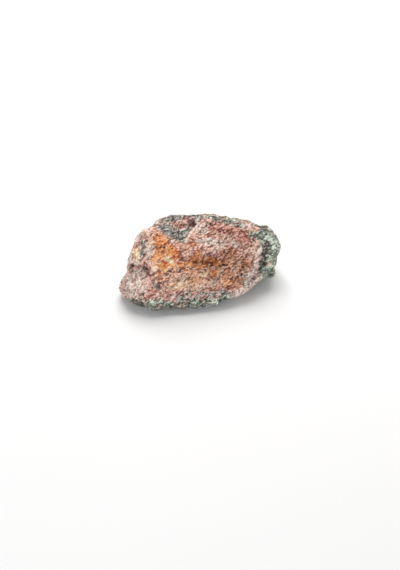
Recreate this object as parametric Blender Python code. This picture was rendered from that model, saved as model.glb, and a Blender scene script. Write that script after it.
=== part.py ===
"""A rough rock: one natural stone, about 80 mm long, lying on its flat underside.

The stone is worked out as a solid form in millimetres and brought to its driving sizes in metres.
It is a block between broken facets, with lumps grown to it at both ends, a chip broken out of its
top, and grooves, ridges, broken layer edges and flat flakes over all of it. The frame stands on the resting
face: X runs along the stone, Y runs to its back and Z points up.
"""

import itertools
import math

import bmesh
import bpy
import numpy as np

# driving sizes of the finished stone, in metres
LENGTH = 0.0805
DEPTH = 0.0525
HEIGHT = 0.0313

# the mesh
SPHERE_LEVELS = 7
TRIANGLES_KEPT = 8000
SHARP_ANGLE = math.radians(38.0)

# look of the plain material
STONE_COLOUR = (0.42, 0.25, 0.20, 1.0)
STONE_ROUGHNESS = 0.85

# Lengths from here on are millimetres, and angles are degrees.
HEART = np.array([0.0, 0.0, 14.0])
SPREAD = np.array([40.0, 26.0, 17.0])
SEARCH_REACH = 60.0
SEARCH_STEPS = 18

# facet: bearing and rise of its outward direction, a point on it, rounding towards the others
FACETS = {
    "lower_face": (-78, 41, (-4.0, -17.5, 12.4), 4.0),
    "broad_face": (-57, 61.5, (4.0, -2.0, 24.6), 6.0),
    "left_face": (-112, 59, (-7.7, -5.0, 26.4), 4.0),
    "left_slope": (-148, 46, (-27.2, 0.0, 24.4), 3.0),
    "front_rim": (-83, 20, (-12.0, -25.0, 2.8), 2.0),
    "front_right": (-54, -20, (22.0, -14.6, 7.2), 3.0),
    "right_end": (-15, 18, (30.0, 0.0, 16.0), 2.0),
    "right_shoulder": (42, 38, (37.0, 17.6, 22.4), 3.0),
    "top_strip": (52, 69, (3.0, 15.0, 30.8), 2.5),
    "top_left": (82, 74, (-10.0, 15.0, 31.9), 3.0),
    "back_upper": (104, 40, (-8.0, 22.0, 25.0), 4.0),
    "back_upper_right": (70, 42, (18.0, 20.4, 25.4), 3.0),
    "back_wall": (96, -4, (-6.0, 26.0, 12.0), 4.0),
    "back_right": (64, 2, (24.0, 22.0, 11.0), 4.0),
    "back_left": (142, 14, (-25.0, 19.0, 16.0), 5.0),
    "left_side": (178, -4, (-36.0, 2.0, 17.0), 3.0),
    "left_shoulder": (142, 46, (-23.6, 11.6, 28.6), 3.0),
    "left_front": (-128, 6, (-30.0, -21.4, 5.0), 5.0),
    "underside_front": (-83, -70, (-12.0, -18.0, 0.0), 1.5),
    "underside_right": (-6, -68, (19.0, 0.0, 0.0), 4.0),
    "underside_back": (86, -70, (0.0, 13.0, 0.0), 4.0),
    "underside_left": (-150, -46, (-32.0, -12.0, 1.0), 3.0),
    "sole": (0, -90, (0.0, 0.0, -1.5), 2.0),
}

# lump: middle, half sizes, bearing that its first half size points to, blend with the rest
LUMPS = {
    "toe": ((-27.0, -10.2, 5.8), (11.9, 9.4, 6.8), 24, 2.0),
    "tail": ((26.2, 9.4, 12.8), (11.6, 11.5, 9.8), -10, 2.0),
    "tail_root": ((28.0, 3.0, 8.5), (7.4, 7.4, 5.6), 0, 2.5),
    "tail_top": ((32.0, 12.4, 19.2), (6.2, 5.4, 4.5), -25, 1.5),
    "tail_middle": ((34.9, 9.6, 15.8), (5.4, 4.8, 4.4), 15, 1.5),
    "tail_low": ((32.0, 3.0, 10.6), (3.8, 3.8, 3.8), 0, 1.5),
    "tail_knob": ((33.6, -0.5, 5.6), (2.9, 2.5, 2.2), 20, 1.2),
}
LUMP_SQUARENESS = 2.8

# chip in the top: its floor and its wall, each a bearing, a rise and a point
CHIP_FLOOR = (-52, 81, (-7.7, -5.0, 26.2))
CHIP_WALL = (157, 34, (-5.6, 1.4, 28.7))
CHIP_CORNER_ROUNDING = 1.0
CHIP_EDGE_ROUNDING = 1.2

# relief line: height along its middle, below zero for a groove, its half width, and its points
RELIEF_LINES = {
    "left_ridge": (0.9, 2.4, [(-26.5, 7.5, 27.0), (-25.0, -2.5, 23.5), (-24.0, -10.0, 19.5)]),
    "left_dip": (-0.6, 1.9, [(-29.5, 2.0, 24.5), (-28.5, -4.5, 21.0), (-28.5, -6.4, 19.4)]),
    "left_crease": (-0.5, 1.1, [(-27.2, 4.1, 26.9), (-26.1, -0.3, 24.7)]),
    "notch": (-1.9, 2.2, [(-35.5, -4.5, 13.5), (-30.0, -10.0, 16.5), (-26.0, -13.0, 17.0)]),
    "notch_end": (-0.35, 1.6, [(-26.0, -13.0, 17.0), (-21.5, -18.0, 15.5)]),
    "rust_crease": (-0.7, 1.2, [(-2.0, -9.0, 20.2), (2.7, -9.1, 19.7), (7.0, -8.8, 18.9)]),
    "orange_ledge": (0.6, 1.5, [(-19.1, -13.5, 18.8), (-13.8, -12.4, 19.8), (-8.9, -10.8, 20.4),
                                (-4.1, -9.0, 19.6)]),
    "under_ledge": (-0.8, 1.5, [(-19.1, -17.5, 16.3), (-13.8, -14.4, 18.8), (-7.5, -13.5, 18.8)]),
    "rust_step": (-0.6, 1.4, [(-21.0, -2.0, 25.0), (-15.5, -3.0, 25.0), (-11.0, -1.0, 25.5)]),
    "rim_groove": (-1.5, 2.2, [(32.5, 2.0, 20.0), (31.0, -2.0, 17.5), (30.0, -5.0, 13.0),
                               (28.0, -9.0, 11.0)]),
    "rim": (0.6, 1.8, [(30.0, 0.5, 20.5), (28.0, -3.0, 16.5), (27.5, -6.5, 14.0),
                       (23.5, -11.0, 11.5)]),
    "chip_border": (-0.6, 1.5, [(-22.5, 10.5, 28.5), (-19.5, 3.5, 27.5), (-12.5, -1.0, 26.5),
                                (-8.0, -5.0, 24.5)]),
    "chip_crest": (0.6, 1.2, [(-0.5, 12.5, 31.0), (-3.6, 5.0, 29.3), (-7.0, -1.5, 27.4)]),
    "back_dent": (-1.5, 2.8, [(-5.0, 20.0, 28.6), (1.0, 21.0, 28.7)]),
    "left_top_swell": (1.2, 3.0, [(-21.5, 15.0, 27.6), (-14.5, 16.5, 28.2)]),
    "top_crest": (0.5, 1.8, [(2.5, 12.5, 31.0), (20.0, 11.5, 26.5), (30.5, 11.0, 23.5)]),
    "middle_swell": (0.9, 5.5, [(-6.0, -14.5, 16.5), (3.0, -15.0, 14.5)]),
    "upper_swell": (0.7, 6.0, [(8.0, 3.0, 25.5), (14.0, 0.0, 23.5)]),
    "pink_swell": (0.5, 3.0, [(-0.7, 4.9, 28.8), (3.2, 3.1, 27.0)]),
    "small_hollow": (-0.6, 1.4, [(2.2, 0.7, 26.4), (5.2, 1.3, 25.9)]),
    "red_hollow": (-0.7, 1.8, [(12.0, -3.7, 21.7), (16.9, -3.2, 19.5)]),
    "right_bump": (0.5, 1.8, [(16.5, -4.9, 17.7), (19.4, -5.2, 16.7)]),
    "cream_bump": (0.7, 1.7, [(-14.3, -18.7, 13.0), (-12.8, -18.5, 12.8)]),
    "cream_bump_2": (0.7, 1.8, [(-9.4, -18.0, 12.4), (-7.0, -17.9, 11.7)]),
    "lower_dip": (-0.6, 1.9, [(-4.6, -11.9, 18.7), (-3.6, -16.2, 13.4)]),
    "rust_ridge": (0.5, 1.9, [(8.1, -16.3, 11.1), (14.9, -13.6, 11.4), (19.8, -11.4, 12.2)]),
    "rust_dip": (-0.6, 1.8, [(7.1, -13.8, 14.1), (12.0, -11.0, 14.3), (16.9, -8.6, 15.0)]),
    "toe_swell": (0.5, 2.3, [(-30.8, -16.7, 13.3), (-27.3, -19.4, 13.5)]),
    "toe_dip": (-0.5, 1.5, [(-34.0, -9.0, 14.0), (-33.3, -14.0, 13.0)]),
    "tail_ridge": (0.6, 1.3, [(34.8, 0.5, 18.0), (34.9, -1.5, 12.0)]),
    "tail_groove": (-0.7, 1.3, [(33.9, 5.1, 21.3), (33.8, 0.5, 18.5)]),
    "low_hollow": (-0.7, 3.0, [(-13.0, -20.5, 12.0), (-17.0, -21.0, 13.5)]),
    "right_hollow": (-0.8, 3.0, [(14.0, -7.5, 17.5), (20.0, -8.5, 15.0)]),
    "rim_pit": (-1.1, 1.3, [(23.0, -6.5, 15.0), (24.0, -6.5, 15.0)]),
    "rust_pit": (-1.0, 1.2, [(-4.0, -9.0, 20.5), (-3.0, -9.0, 20.5)]),
    "back_gully": (-1.4, 3.0, [(-8.0, 26.0, 22.0), (-3.0, 27.0, 12.0), (-6.0, 25.0, 4.0)]),
    "back_ledge": (1.1, 3.0, [(6.0, 27.0, 13.0), (20.0, 24.0, 9.0), (30.0, 19.0, 10.0)]),
    "left_gully": (-1.0, 2.4, [(-36.0, 6.0, 18.0), (-33.0, 12.0, 8.0)]),
}
LINE_WANDER = 0.9
LINE_WANDER_SIZE = 6.0
LINE_WANDER_SEEDS = (21, 22, 23)

# bedding: direction across the layers, their thickness, and how far a broken layer edge stands out
BEDDING = (-70, 62)
LAYER_THICKNESS = 3.4
LAYER_EDGE = 0.55
LAYER_DROP_FROM = 0.82
LAYER_WAVE = 1.6
LAYER_WAVE_SIZE = 9.0
LAYER_WAVE_SEED = 31
LAYER_PATCH = (-0.05, 0.35)
LAYER_PATCH_SIZE = 13.0
LAYER_PATCH_SEED = 32

# wobble that bends the facets, and lumpiness on them: height, size and seed
WOBBLE = 1.3
WOBBLE_SIZE = 17.0
WOBBLE_SEEDS = (11, 12, 13)
LUMPINESS = ((0.40, 7.0, 5), (0.28, 3.6, 6))

# flat flakes left where the stone broke: size, step up or down, tilt and seed
FLAKES = ((9.0, 0.25, 0.10, 81), (4.6, 0.14, 0.12, 82))
# random numbers picked for a flake: three for its place, three for its tilt and one for its step
FLAKE_PICKS = 7
# width of the bevel between flakes, as a share of their size
FLAKE_BEVEL = 0.22

# random picks and slopes repeat after this many cells
NOISE_PERIOD = 16
NOISE_GAIN = 1.6

# how far the floor cutter reaches past and below the stone, in metres
CUTTER_MARGIN = 0.01


def clear_scene():
    for item in list(bpy.data.objects):
        bpy.data.objects.remove(item, do_unlink=True)


def new_collection(name):
    collection = bpy.data.collections.new(name)
    bpy.context.scene.collection.children.link(collection)
    return collection


def outward(bearing, rise):
    """Unit direction at a bearing in the XY plane and a rise above it."""
    b, r = math.radians(bearing), math.radians(rise)
    return np.array([math.cos(r) * math.cos(b), math.cos(r) * math.sin(b), math.sin(r)])


def noise(points, size, seed):
    """Smooth random hills from about -1 to 1, `size` across, from random slopes on a lattice."""
    slopes = np.random.default_rng(seed).normal(size=(NOISE_PERIOD,) * 3 + (3,))
    slopes /= np.linalg.norm(slopes, axis=-1, keepdims=True)
    scaled = points / size
    cell = np.floor(scaled).astype(int)
    part = scaled - cell
    fade = part**3 * (part * (part * 6.0 - 15.0) + 10.0)
    total = np.zeros(len(points))
    for corner in itertools.product((0, 1), repeat=3):
        index = (cell + corner) % NOISE_PERIOD
        slope = slopes[index[:, 0], index[:, 1], index[:, 2]]
        weight = np.prod(np.where(np.array(corner) == 1, fade, 1.0 - fade), axis=1)
        total += weight * np.einsum("ij,ij->i", slope, part - corner)
    return NOISE_GAIN * total


def noise_vectors(points, size, seeds):
    return np.stack([noise(points, size, seed) for seed in seeds], axis=1)


def larger(a, b, rounding):
    """The larger of two distances, with the corner where they meet rounded off."""
    near = np.maximum(rounding - np.abs(a - b), 0.0) / rounding
    return np.maximum(a, b) + near * near * rounding * 0.25


def smaller(a, b, rounding):
    return -larger(-a, -b, rounding)


def smooth_step(low, high, x):
    t = np.clip((x - low) / (high - low), 0.0, 1.0)
    return t * t * (3.0 - 2.0 * t)


def above_plane(points, bearing, rise, through):
    return (points - through) @ outward(bearing, rise)


def outside_lump(points, middle, half_sizes, bearing):
    """Rough distance outside a rounded block."""
    b = math.radians(bearing)
    turn = np.array([[math.cos(b), math.sin(b), 0.0], [-math.sin(b), math.cos(b), 0.0], [0.0, 0.0, 1.0]])
    share = np.abs((points - middle) @ turn.T) / half_sizes
    spread = np.sum(share**LUMP_SQUARENESS, axis=1) ** (1.0 / LUMP_SQUARENESS)
    return (spread - 1.0) * min(half_sizes)


def outside_stone(points):
    """Below zero inside the facets and lumps, above zero outside them and in the chip."""
    distance = np.full(len(points), -SEARCH_REACH)
    for bearing, rise, through, rounding in FACETS.values():
        distance = larger(distance, above_plane(points, bearing, rise, through), rounding)
    for middle, half_sizes, bearing, blend in LUMPS.values():
        distance = smaller(distance, outside_lump(points, middle, half_sizes, bearing), blend)
    floor = above_plane(points, *CHIP_FLOOR)
    wall = above_plane(points, *CHIP_WALL)
    return larger(distance, smaller(floor, wall, CHIP_CORNER_ROUNDING), CHIP_EDGE_ROUNDING)


def distance_to_line(points, line):
    """The shortest way from each point to a line through a few places."""
    best = np.full(len(points), SEARCH_REACH)
    for start, end in itertools.pairwise(np.array(line)):
        along = end - start
        share = np.clip((points - start) @ along / (along @ along), 0.0, 1.0)
        away = np.linalg.norm(points - start - share[:, None] * along, axis=1)
        best = np.minimum(best, away)
    return best


def line_relief(points):
    """Grooves and ridges with a bell-shaped section, along lines that wander a little."""
    wandered = points + LINE_WANDER * noise_vectors(points, LINE_WANDER_SIZE, LINE_WANDER_SEEDS)
    total = np.zeros(len(points))
    for height, half_width, line in RELIEF_LINES.values():
        total += height * np.exp(-((distance_to_line(wandered, line) / half_width) ** 2))
    return total


def layer_relief(points):
    """Broken layer edges: a slow rise and a quick drop across each layer, in patches."""
    wave = LAYER_WAVE * noise(points, LAYER_WAVE_SIZE, LAYER_WAVE_SEED)
    share = (points @ outward(*BEDDING) + wave) / LAYER_THICKNESS % 1.0
    saw = share - smooth_step(LAYER_DROP_FROM, 1.0, share)
    patches = smooth_step(*LAYER_PATCH, noise(points, LAYER_PATCH_SIZE, LAYER_PATCH_SEED))
    return LAYER_EDGE * saw * patches


def lumpy_relief(points):
    return sum(height * noise(points, size, seed) for height, size, seed in LUMPINESS)


def flake_relief(points):
    """Flakes round places scattered one to a cell, each stepped and tilted as it was picked, with
    a bevel between each and the next."""
    total = np.zeros(len(points))
    for size, step, tilt, seed in FLAKES:
        picks = np.random.default_rng(seed).random((NOISE_PERIOD,) * 3 + (FLAKE_PICKS,))
        cell = np.floor(points / size).astype(int)
        near, next_near = np.full((2, len(points)), np.inf)
        top, next_top = np.zeros((2, len(points)))
        for corner in itertools.product((-1, 0, 1), repeat=3):
            index = (cell + corner) % NOISE_PERIOD
            pick = picks[index[:, 0], index[:, 1], index[:, 2]]
            away = points / size - (cell + corner + pick[:, :3])
            distance = np.linalg.norm(away, axis=1)
            slope = tilt * size * (2.0 * pick[:, 3:6] - 1.0)
            height = step * (2.0 * pick[:, 6] - 1.0) + np.einsum("ij,ij->i", slope, away)
            nearer, second = distance < near, distance < next_near
            next_top = np.where(nearer, top, np.where(second, height, next_top))
            next_near = np.where(nearer, near, np.where(second, distance, next_near))
            top = np.where(nearer, height, top)
            near = np.where(nearer, distance, near)
        own = 0.5 + 0.5 * smooth_step(0.0, FLAKE_BEVEL, next_near - near)
        total += own * top + (1.0 - own) * next_top
    return total


def stone_surface(directions):
    """Where a ray from the heart in each direction leaves the stone, found by halving."""
    rough_reach = 1.0 / np.linalg.norm(directions / SPREAD, axis=1)
    wobble = WOBBLE * noise_vectors(directions * rough_reach[:, None], WOBBLE_SIZE, WOBBLE_SEEDS)
    low = np.zeros(len(directions))
    high = np.full(len(directions), SEARCH_REACH)
    for _ in range(SEARCH_STEPS):
        middle = (low + high) / 2.0
        inside = outside_stone(HEART + directions * middle[:, None] + wobble) < 0.0
        low = np.where(inside, middle, low)
        high = np.where(inside, high, middle)
    reach = (low + high) / 2.0
    points = HEART + directions * reach[:, None]
    reach = reach + line_relief(points) + layer_relief(points)
    reach = reach + lumpy_relief(points) + flake_relief(points)
    return HEART + directions * reach[:, None]


def bring_to_size(points):
    """Stretch to the driving sizes, with X centred and the resting face at Z 0."""
    low, high = points.min(axis=0), points.max(axis=0)
    middle_x = (low[0] + high[0]) / 2.0
    stretch = np.array([LENGTH / (high[0] - low[0]), DEPTH / (high[1] - low[1]), HEIGHT / high[2]])
    return (points - (middle_x, 0.0, 0.0)) * stretch


def make_stone_mesh():
    """A fine ball pushed out to the stone's surface."""
    mesh = bpy.data.meshes.new("stone")
    ball = bmesh.new()
    bmesh.ops.create_icosphere(ball, subdivisions=SPHERE_LEVELS, radius=1.0)
    ball.to_mesh(mesh)
    ball.free()
    corners = np.empty(len(mesh.vertices) * 3)
    mesh.vertices.foreach_get("co", corners)
    directions = corners.reshape(-1, 3) * SPREAD
    directions /= np.linalg.norm(directions, axis=1, keepdims=True)
    points = bring_to_size(stone_surface(directions))
    mesh.vertices.foreach_set("co", points.astype(np.float32).ravel())
    mesh.update()
    mesh.shade_smooth()
    mesh.set_sharp_from_angle(angle=SHARP_ANGLE)
    return mesh


def make_floor_cutter(collection):
    """A slab with its top at Z 0, which leaves the stone a flat resting face."""
    mesh = bpy.data.meshes.new("floor_cutter")
    slab = bmesh.new()
    bmesh.ops.create_cube(slab, size=1.0)
    size = (LENGTH + CUTTER_MARGIN, 2.0 * DEPTH + CUTTER_MARGIN, CUTTER_MARGIN)
    bmesh.ops.scale(slab, vec=size, verts=slab.verts)
    slab.to_mesh(mesh)
    slab.free()
    cutter = bpy.data.objects.new("floor_cutter", mesh)
    cutter.location = (0.0, 0.0, -CUTTER_MARGIN / 2.0)
    cutter.hide_render = True
    cutter.display_type = "WIRE"
    collection.objects.link(cutter)
    return cutter


def stone_material():
    material = bpy.data.materials.new("stone")
    material.use_nodes = True
    shader = material.node_tree.nodes["Principled BSDF"]
    shader.inputs["Base Color"].default_value = STONE_COLOUR
    shader.inputs["Roughness"].default_value = STONE_ROUGHNESS
    shader.inputs["Metallic"].default_value = 0.0
    return material


def add_stone(collection, cutter):
    mesh = make_stone_mesh()
    mesh.materials.append(stone_material())
    stone = bpy.data.objects.new("stone", mesh)
    collection.objects.link(stone)
    thin = stone.modifiers.new("fewer_triangles", "DECIMATE")
    thin.decimate_type = "COLLAPSE"
    thin.ratio = TRIANGLES_KEPT / len(mesh.polygons)
    flatten = stone.modifiers.new("resting_face", "BOOLEAN")
    flatten.operation = "DIFFERENCE"
    flatten.solver = "EXACT"
    flatten.object = cutter
    return stone


def main():
    clear_scene()
    parts = new_collection("rough_rock")
    cutters = new_collection("cutters")
    add_stone(parts, make_floor_cutter(cutters))


if __name__ == "__main__":
    main()
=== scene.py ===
"""Rough rock: the looks of one natural stone, laid out as a Blender add-on and run as a script.

The stone is worked out as a form in millimetres: a block between broken facets, with lumps grown
to it at both ends, a chip broken out of its top, and grooves, ridges, flat flakes and broken layer
edges over all of it. Crystals and pits are then raised on its skin, each face gets the share of
minerals that it shows, and the whole is brought to the box of the solid that it stands for.
"""

import itertools
import math

import bpy
import numpy as np
from bpy.props import FloatProperty, FloatVectorProperty, PointerProperty
from bpy.types import Operator, Panel, PropertyGroup
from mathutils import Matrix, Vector


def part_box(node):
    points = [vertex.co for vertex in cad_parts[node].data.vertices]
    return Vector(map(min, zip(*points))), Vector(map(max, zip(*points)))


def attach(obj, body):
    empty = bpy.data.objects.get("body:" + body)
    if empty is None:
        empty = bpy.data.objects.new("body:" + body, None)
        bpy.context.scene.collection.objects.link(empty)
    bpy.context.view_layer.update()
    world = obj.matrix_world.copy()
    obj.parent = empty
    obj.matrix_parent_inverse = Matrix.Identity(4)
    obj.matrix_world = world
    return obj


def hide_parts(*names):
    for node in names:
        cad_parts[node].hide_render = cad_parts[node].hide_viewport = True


bl_info = {
    "name": "Rough Rock",
    "version": (1, 0, 0),
    "blender": (4, 5, 0),
    "location": "3D View > Sidebar > Rock",
    "description": "Makes a rough natural stone of mixed minerals and a plain pale stage for it",
    "category": "Add Mesh",
}

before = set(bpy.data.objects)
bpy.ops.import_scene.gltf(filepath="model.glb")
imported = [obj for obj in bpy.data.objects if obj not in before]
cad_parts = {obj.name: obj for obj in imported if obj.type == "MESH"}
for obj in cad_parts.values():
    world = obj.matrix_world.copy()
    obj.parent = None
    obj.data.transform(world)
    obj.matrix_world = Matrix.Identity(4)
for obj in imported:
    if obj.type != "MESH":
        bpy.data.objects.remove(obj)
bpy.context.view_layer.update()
STONE_LOW, STONE_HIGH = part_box("stone")

# Lengths from here on are millimetres, and angles are degrees.
# a point inside that rays to the skin start from, and the stone's rough half sizes
HEART = np.array([0.0, 0.0, 14.0])
SPREAD = np.array([40.0, 26.0, 17.0])
# how far out the skin is looked for, and how often the stretch that holds it is halved
SEARCH_REACH = 60.0
SEARCH_STEPS = 18

# facet: bearing and rise of its outward direction, a point on it, rounding towards the others
FACETS = {
    "lower_face": (-78, 41, (-4.0, -17.5, 12.4), 4.0),
    "broad_face": (-57, 61.5, (4.0, -2.0, 24.6), 6.0),
    "left_face": (-112, 59, (-7.7, -5.0, 26.4), 4.0),
    "left_slope": (-148, 46, (-27.2, 0.0, 24.4), 3.0),
    "front_rim": (-83, 20, (-12.0, -25.0, 2.8), 2.0),
    "front_right": (-54, -20, (22.0, -14.6, 7.2), 3.0),
    "right_end": (-15, 18, (30.0, 0.0, 16.0), 2.0),
    "right_shoulder": (42, 38, (37.0, 17.6, 22.4), 3.0),
    "top_strip": (52, 69, (3.0, 15.0, 30.8), 2.5),
    "top_left": (82, 74, (-10.0, 15.0, 31.9), 3.0),
    "back_upper": (104, 40, (-8.0, 22.0, 25.0), 4.0),
    "back_upper_right": (70, 42, (18.0, 20.4, 25.4), 3.0),
    "back_wall": (96, -4, (-6.0, 26.0, 12.0), 4.0),
    "back_right": (64, 2, (24.0, 22.0, 11.0), 4.0),
    "back_left": (142, 14, (-25.0, 19.0, 16.0), 5.0),
    "left_side": (178, -4, (-36.0, 2.0, 17.0), 3.0),
    "left_shoulder": (142, 46, (-23.6, 11.6, 28.6), 3.0),
    "left_front": (-128, 6, (-30.0, -21.4, 5.0), 5.0),
    "underside_front": (-83, -70, (-12.0, -18.0, 0.0), 1.5),
    "underside_right": (-6, -68, (19.0, 0.0, 0.0), 4.0),
    "underside_back": (86, -70, (0.0, 13.0, 0.0), 4.0),
    "underside_left": (-150, -46, (-32.0, -12.0, 1.0), 3.0),
    "sole": (0, -90, (0.0, 0.0, -1.5), 2.0),
}

# lump: middle, half sizes, bearing that its first half size points to, blend with the rest
LUMPS = {
    "toe": ((-27.0, -10.2, 5.8), (11.9, 9.4, 6.8), 24, 2.0),
    "tail": ((26.2, 9.4, 12.8), (11.6, 11.5, 9.8), -10, 2.0),
    "tail_root": ((28.0, 3.0, 8.5), (7.4, 7.4, 5.6), 0, 2.5),
    "tail_top": ((32.0, 12.4, 19.2), (6.2, 5.4, 4.5), -25, 1.5),
    "tail_middle": ((34.9, 9.6, 15.8), (5.4, 4.8, 4.4), 15, 1.5),
    "tail_low": ((32.0, 3.0, 10.6), (3.8, 3.8, 3.8), 0, 1.5),
    "tail_knob": ((33.6, -0.5, 5.6), (2.9, 2.5, 2.2), 20, 1.2),
}
LUMP_SQUARENESS = 2.8

# chip in the top: its floor and its wall, each a bearing, a rise and a point
CHIP_FLOOR = (-52, 81, (-7.7, -5.0, 26.2))
CHIP_WALL = (157, 34, (-5.6, 1.4, 28.7))
CHIP_CORNER_ROUNDING = 1.0
CHIP_EDGE_ROUNDING = 1.2

# relief line: height along its middle, below zero for a groove, its half width, and its points
RELIEF_LINES = {
    "left_ridge": (0.9, 2.4, [(-26.5, 7.5, 27.0), (-25.0, -2.5, 23.5), (-24.0, -10.0, 19.5)]),
    "left_dip": (-0.6, 1.9, [(-29.5, 2.0, 24.5), (-28.5, -4.5, 21.0), (-28.5, -6.4, 19.4)]),
    "left_crease": (-0.5, 1.1, [(-27.2, 4.1, 26.9), (-26.1, -0.3, 24.7)]),
    "notch": (-1.9, 2.2, [(-35.5, -4.5, 13.5), (-30.0, -10.0, 16.5), (-26.0, -13.0, 17.0)]),
    "notch_end": (-0.35, 1.6, [(-26.0, -13.0, 17.0), (-21.5, -18.0, 15.5)]),
    "rust_crease": (-0.7, 1.2, [(-2.0, -9.0, 20.2), (2.7, -9.1, 19.7), (7.0, -8.8, 18.9)]),
    "orange_ledge": (0.6, 1.5, [(-19.1, -13.5, 18.8), (-13.8, -12.4, 19.8), (-8.9, -10.8, 20.4),
                                (-4.1, -9.0, 19.6)]),
    "under_ledge": (-0.8, 1.5, [(-19.1, -17.5, 16.3), (-13.8, -14.4, 18.8), (-7.5, -13.5, 18.8)]),
    "rust_step": (-0.6, 1.4, [(-21.0, -2.0, 25.0), (-15.5, -3.0, 25.0), (-11.0, -1.0, 25.5)]),
    "rim_groove": (-1.5, 2.2, [(32.5, 2.0, 20.0), (31.0, -2.0, 17.5), (30.0, -5.0, 13.0),
                               (28.0, -9.0, 11.0)]),
    "rim": (0.6, 1.8, [(30.0, 0.5, 20.5), (28.0, -3.0, 16.5), (27.5, -6.5, 14.0),
                       (23.5, -11.0, 11.5)]),
    "chip_border": (-0.6, 1.5, [(-22.5, 10.5, 28.5), (-19.5, 3.5, 27.5), (-12.5, -1.0, 26.5),
                                (-8.0, -5.0, 24.5)]),
    "chip_crest": (0.6, 1.2, [(-0.5, 12.5, 31.0), (-3.6, 5.0, 29.3), (-7.0, -1.5, 27.4)]),
    "back_dent": (-1.5, 2.8, [(-5.0, 20.0, 28.6), (1.0, 21.0, 28.7)]),
    "left_top_swell": (1.2, 3.0, [(-21.5, 15.0, 27.6), (-14.5, 16.5, 28.2)]),
    "top_crest": (0.5, 1.8, [(2.5, 12.5, 31.0), (20.0, 11.5, 26.5), (30.5, 11.0, 23.5)]),
    "middle_swell": (0.9, 5.5, [(-6.0, -14.5, 16.5), (3.0, -15.0, 14.5)]),
    "upper_swell": (0.7, 6.0, [(8.0, 3.0, 25.5), (14.0, 0.0, 23.5)]),
    "pink_swell": (0.5, 3.0, [(-0.7, 4.9, 28.8), (3.2, 3.1, 27.0)]),
    "small_hollow": (-0.6, 1.4, [(2.2, 0.7, 26.4), (5.2, 1.3, 25.9)]),
    "red_hollow": (-0.7, 1.8, [(12.0, -3.7, 21.7), (16.9, -3.2, 19.5)]),
    "right_bump": (0.5, 1.8, [(16.5, -4.9, 17.7), (19.4, -5.2, 16.7)]),
    "cream_bump": (0.7, 1.7, [(-14.3, -18.7, 13.0), (-12.8, -18.5, 12.8)]),
    "cream_bump_2": (0.7, 1.8, [(-9.4, -18.0, 12.4), (-7.0, -17.9, 11.7)]),
    "lower_dip": (-0.6, 1.9, [(-4.6, -11.9, 18.7), (-3.6, -16.2, 13.4)]),
    "rust_ridge": (0.5, 1.9, [(8.1, -16.3, 11.1), (14.9, -13.6, 11.4), (19.8, -11.4, 12.2)]),
    "rust_dip": (-0.6, 1.8, [(7.1, -13.8, 14.1), (12.0, -11.0, 14.3), (16.9, -8.6, 15.0)]),
    "toe_swell": (0.5, 2.3, [(-30.8, -16.7, 13.3), (-27.3, -19.4, 13.5)]),
    "toe_dip": (-0.5, 1.5, [(-34.0, -9.0, 14.0), (-33.3, -14.0, 13.0)]),
    "tail_ridge": (0.6, 1.3, [(34.8, 0.5, 18.0), (34.9, -1.5, 12.0)]),
    "tail_groove": (-0.7, 1.3, [(33.9, 5.1, 21.3), (33.8, 0.5, 18.5)]),
    "low_hollow": (-0.7, 3.0, [(-13.0, -20.5, 12.0), (-17.0, -21.0, 13.5)]),
    "right_hollow": (-0.8, 3.0, [(14.0, -7.5, 17.5), (20.0, -8.5, 15.0)]),
    "rim_pit": (-1.1, 1.3, [(23.0, -6.5, 15.0), (24.0, -6.5, 15.0)]),
    "rust_pit": (-1.0, 1.2, [(-4.0, -9.0, 20.5), (-3.0, -9.0, 20.5)]),
    "back_gully": (-1.4, 3.0, [(-8.0, 26.0, 22.0), (-3.0, 27.0, 12.0), (-6.0, 25.0, 4.0)]),
    "back_ledge": (1.1, 3.0, [(6.0, 27.0, 13.0), (20.0, 24.0, 9.0), (30.0, 19.0, 10.0)]),
    "left_gully": (-1.0, 2.4, [(-36.0, 6.0, 18.0), (-33.0, 12.0, 8.0)]),
}
LINE_WANDER = 0.9
LINE_WANDER_SIZE = 6.0
LINE_WANDER_SEEDS = (21, 22, 23)

# bedding: direction across the layers, their thickness, and how far a broken layer edge stands out
BEDDING = (-70, 62)
LAYER_THICKNESS = 3.4
LAYER_EDGE = 0.55
LAYER_DROP_FROM = 0.82
LAYER_WAVE = 1.6
LAYER_WAVE_SIZE = 9.0
LAYER_WAVE_SEED = 31
LAYER_PATCH = (-0.05, 0.35)
LAYER_PATCH_SIZE = 13.0
LAYER_PATCH_SEED = 32

# wobble that bends the facets, and lumpiness on them: height, size and seed
WOBBLE = 1.3
WOBBLE_SIZE = 17.0
WOBBLE_SEEDS = (11, 12, 13)
LUMPINESS = ((0.40, 7.0, 5), (0.28, 3.6, 6))

# flat flakes left where the stone broke: size, step up or down, tilt and seed
FLAKES = ((9.0, 0.25, 0.10, 81), (4.6, 0.14, 0.12, 82))
# random numbers picked for a flake: three for its place, three for its tilt and one for its step
FLAKE_PICKS = 7
# width of the bevel between flakes, as a share of their size
FLAKE_BEVEL = 0.22

# random picks and slopes repeat after this many cells
NOISE_PERIOD = 16
NOISE_GAIN = 1.6

# squares along X, Y and Z on the box that is blown up to the stone's ball of directions
GRID = (190, 125, 81)
# steps in a unit that corners of the grids are told apart by
WELD = 1e6

# random numbers picked for a crystal: three for its place, which its step, its skin and the pits
# use too, and three for its tilt
CRYSTAL_PICKS = 6
# crystals raised on the skin: size, step up or down, tilt, seed
CRYSTAL_SIZES = ((2.7, 0.12, 0.21, 41), (1.20, 0.07, 0.20, 42), (0.68, 0.04, 0.20, 43))
CRYSTAL_BEND = 0.45
CRYSTAL_BEND_SIZE = 1.3
CRYSTAL_BEND_SEEDS = (51, 52, 53)
# gap round the middling crystals: depth and width
CRYSTAL_GAP = (0.05, 0.16)
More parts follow.
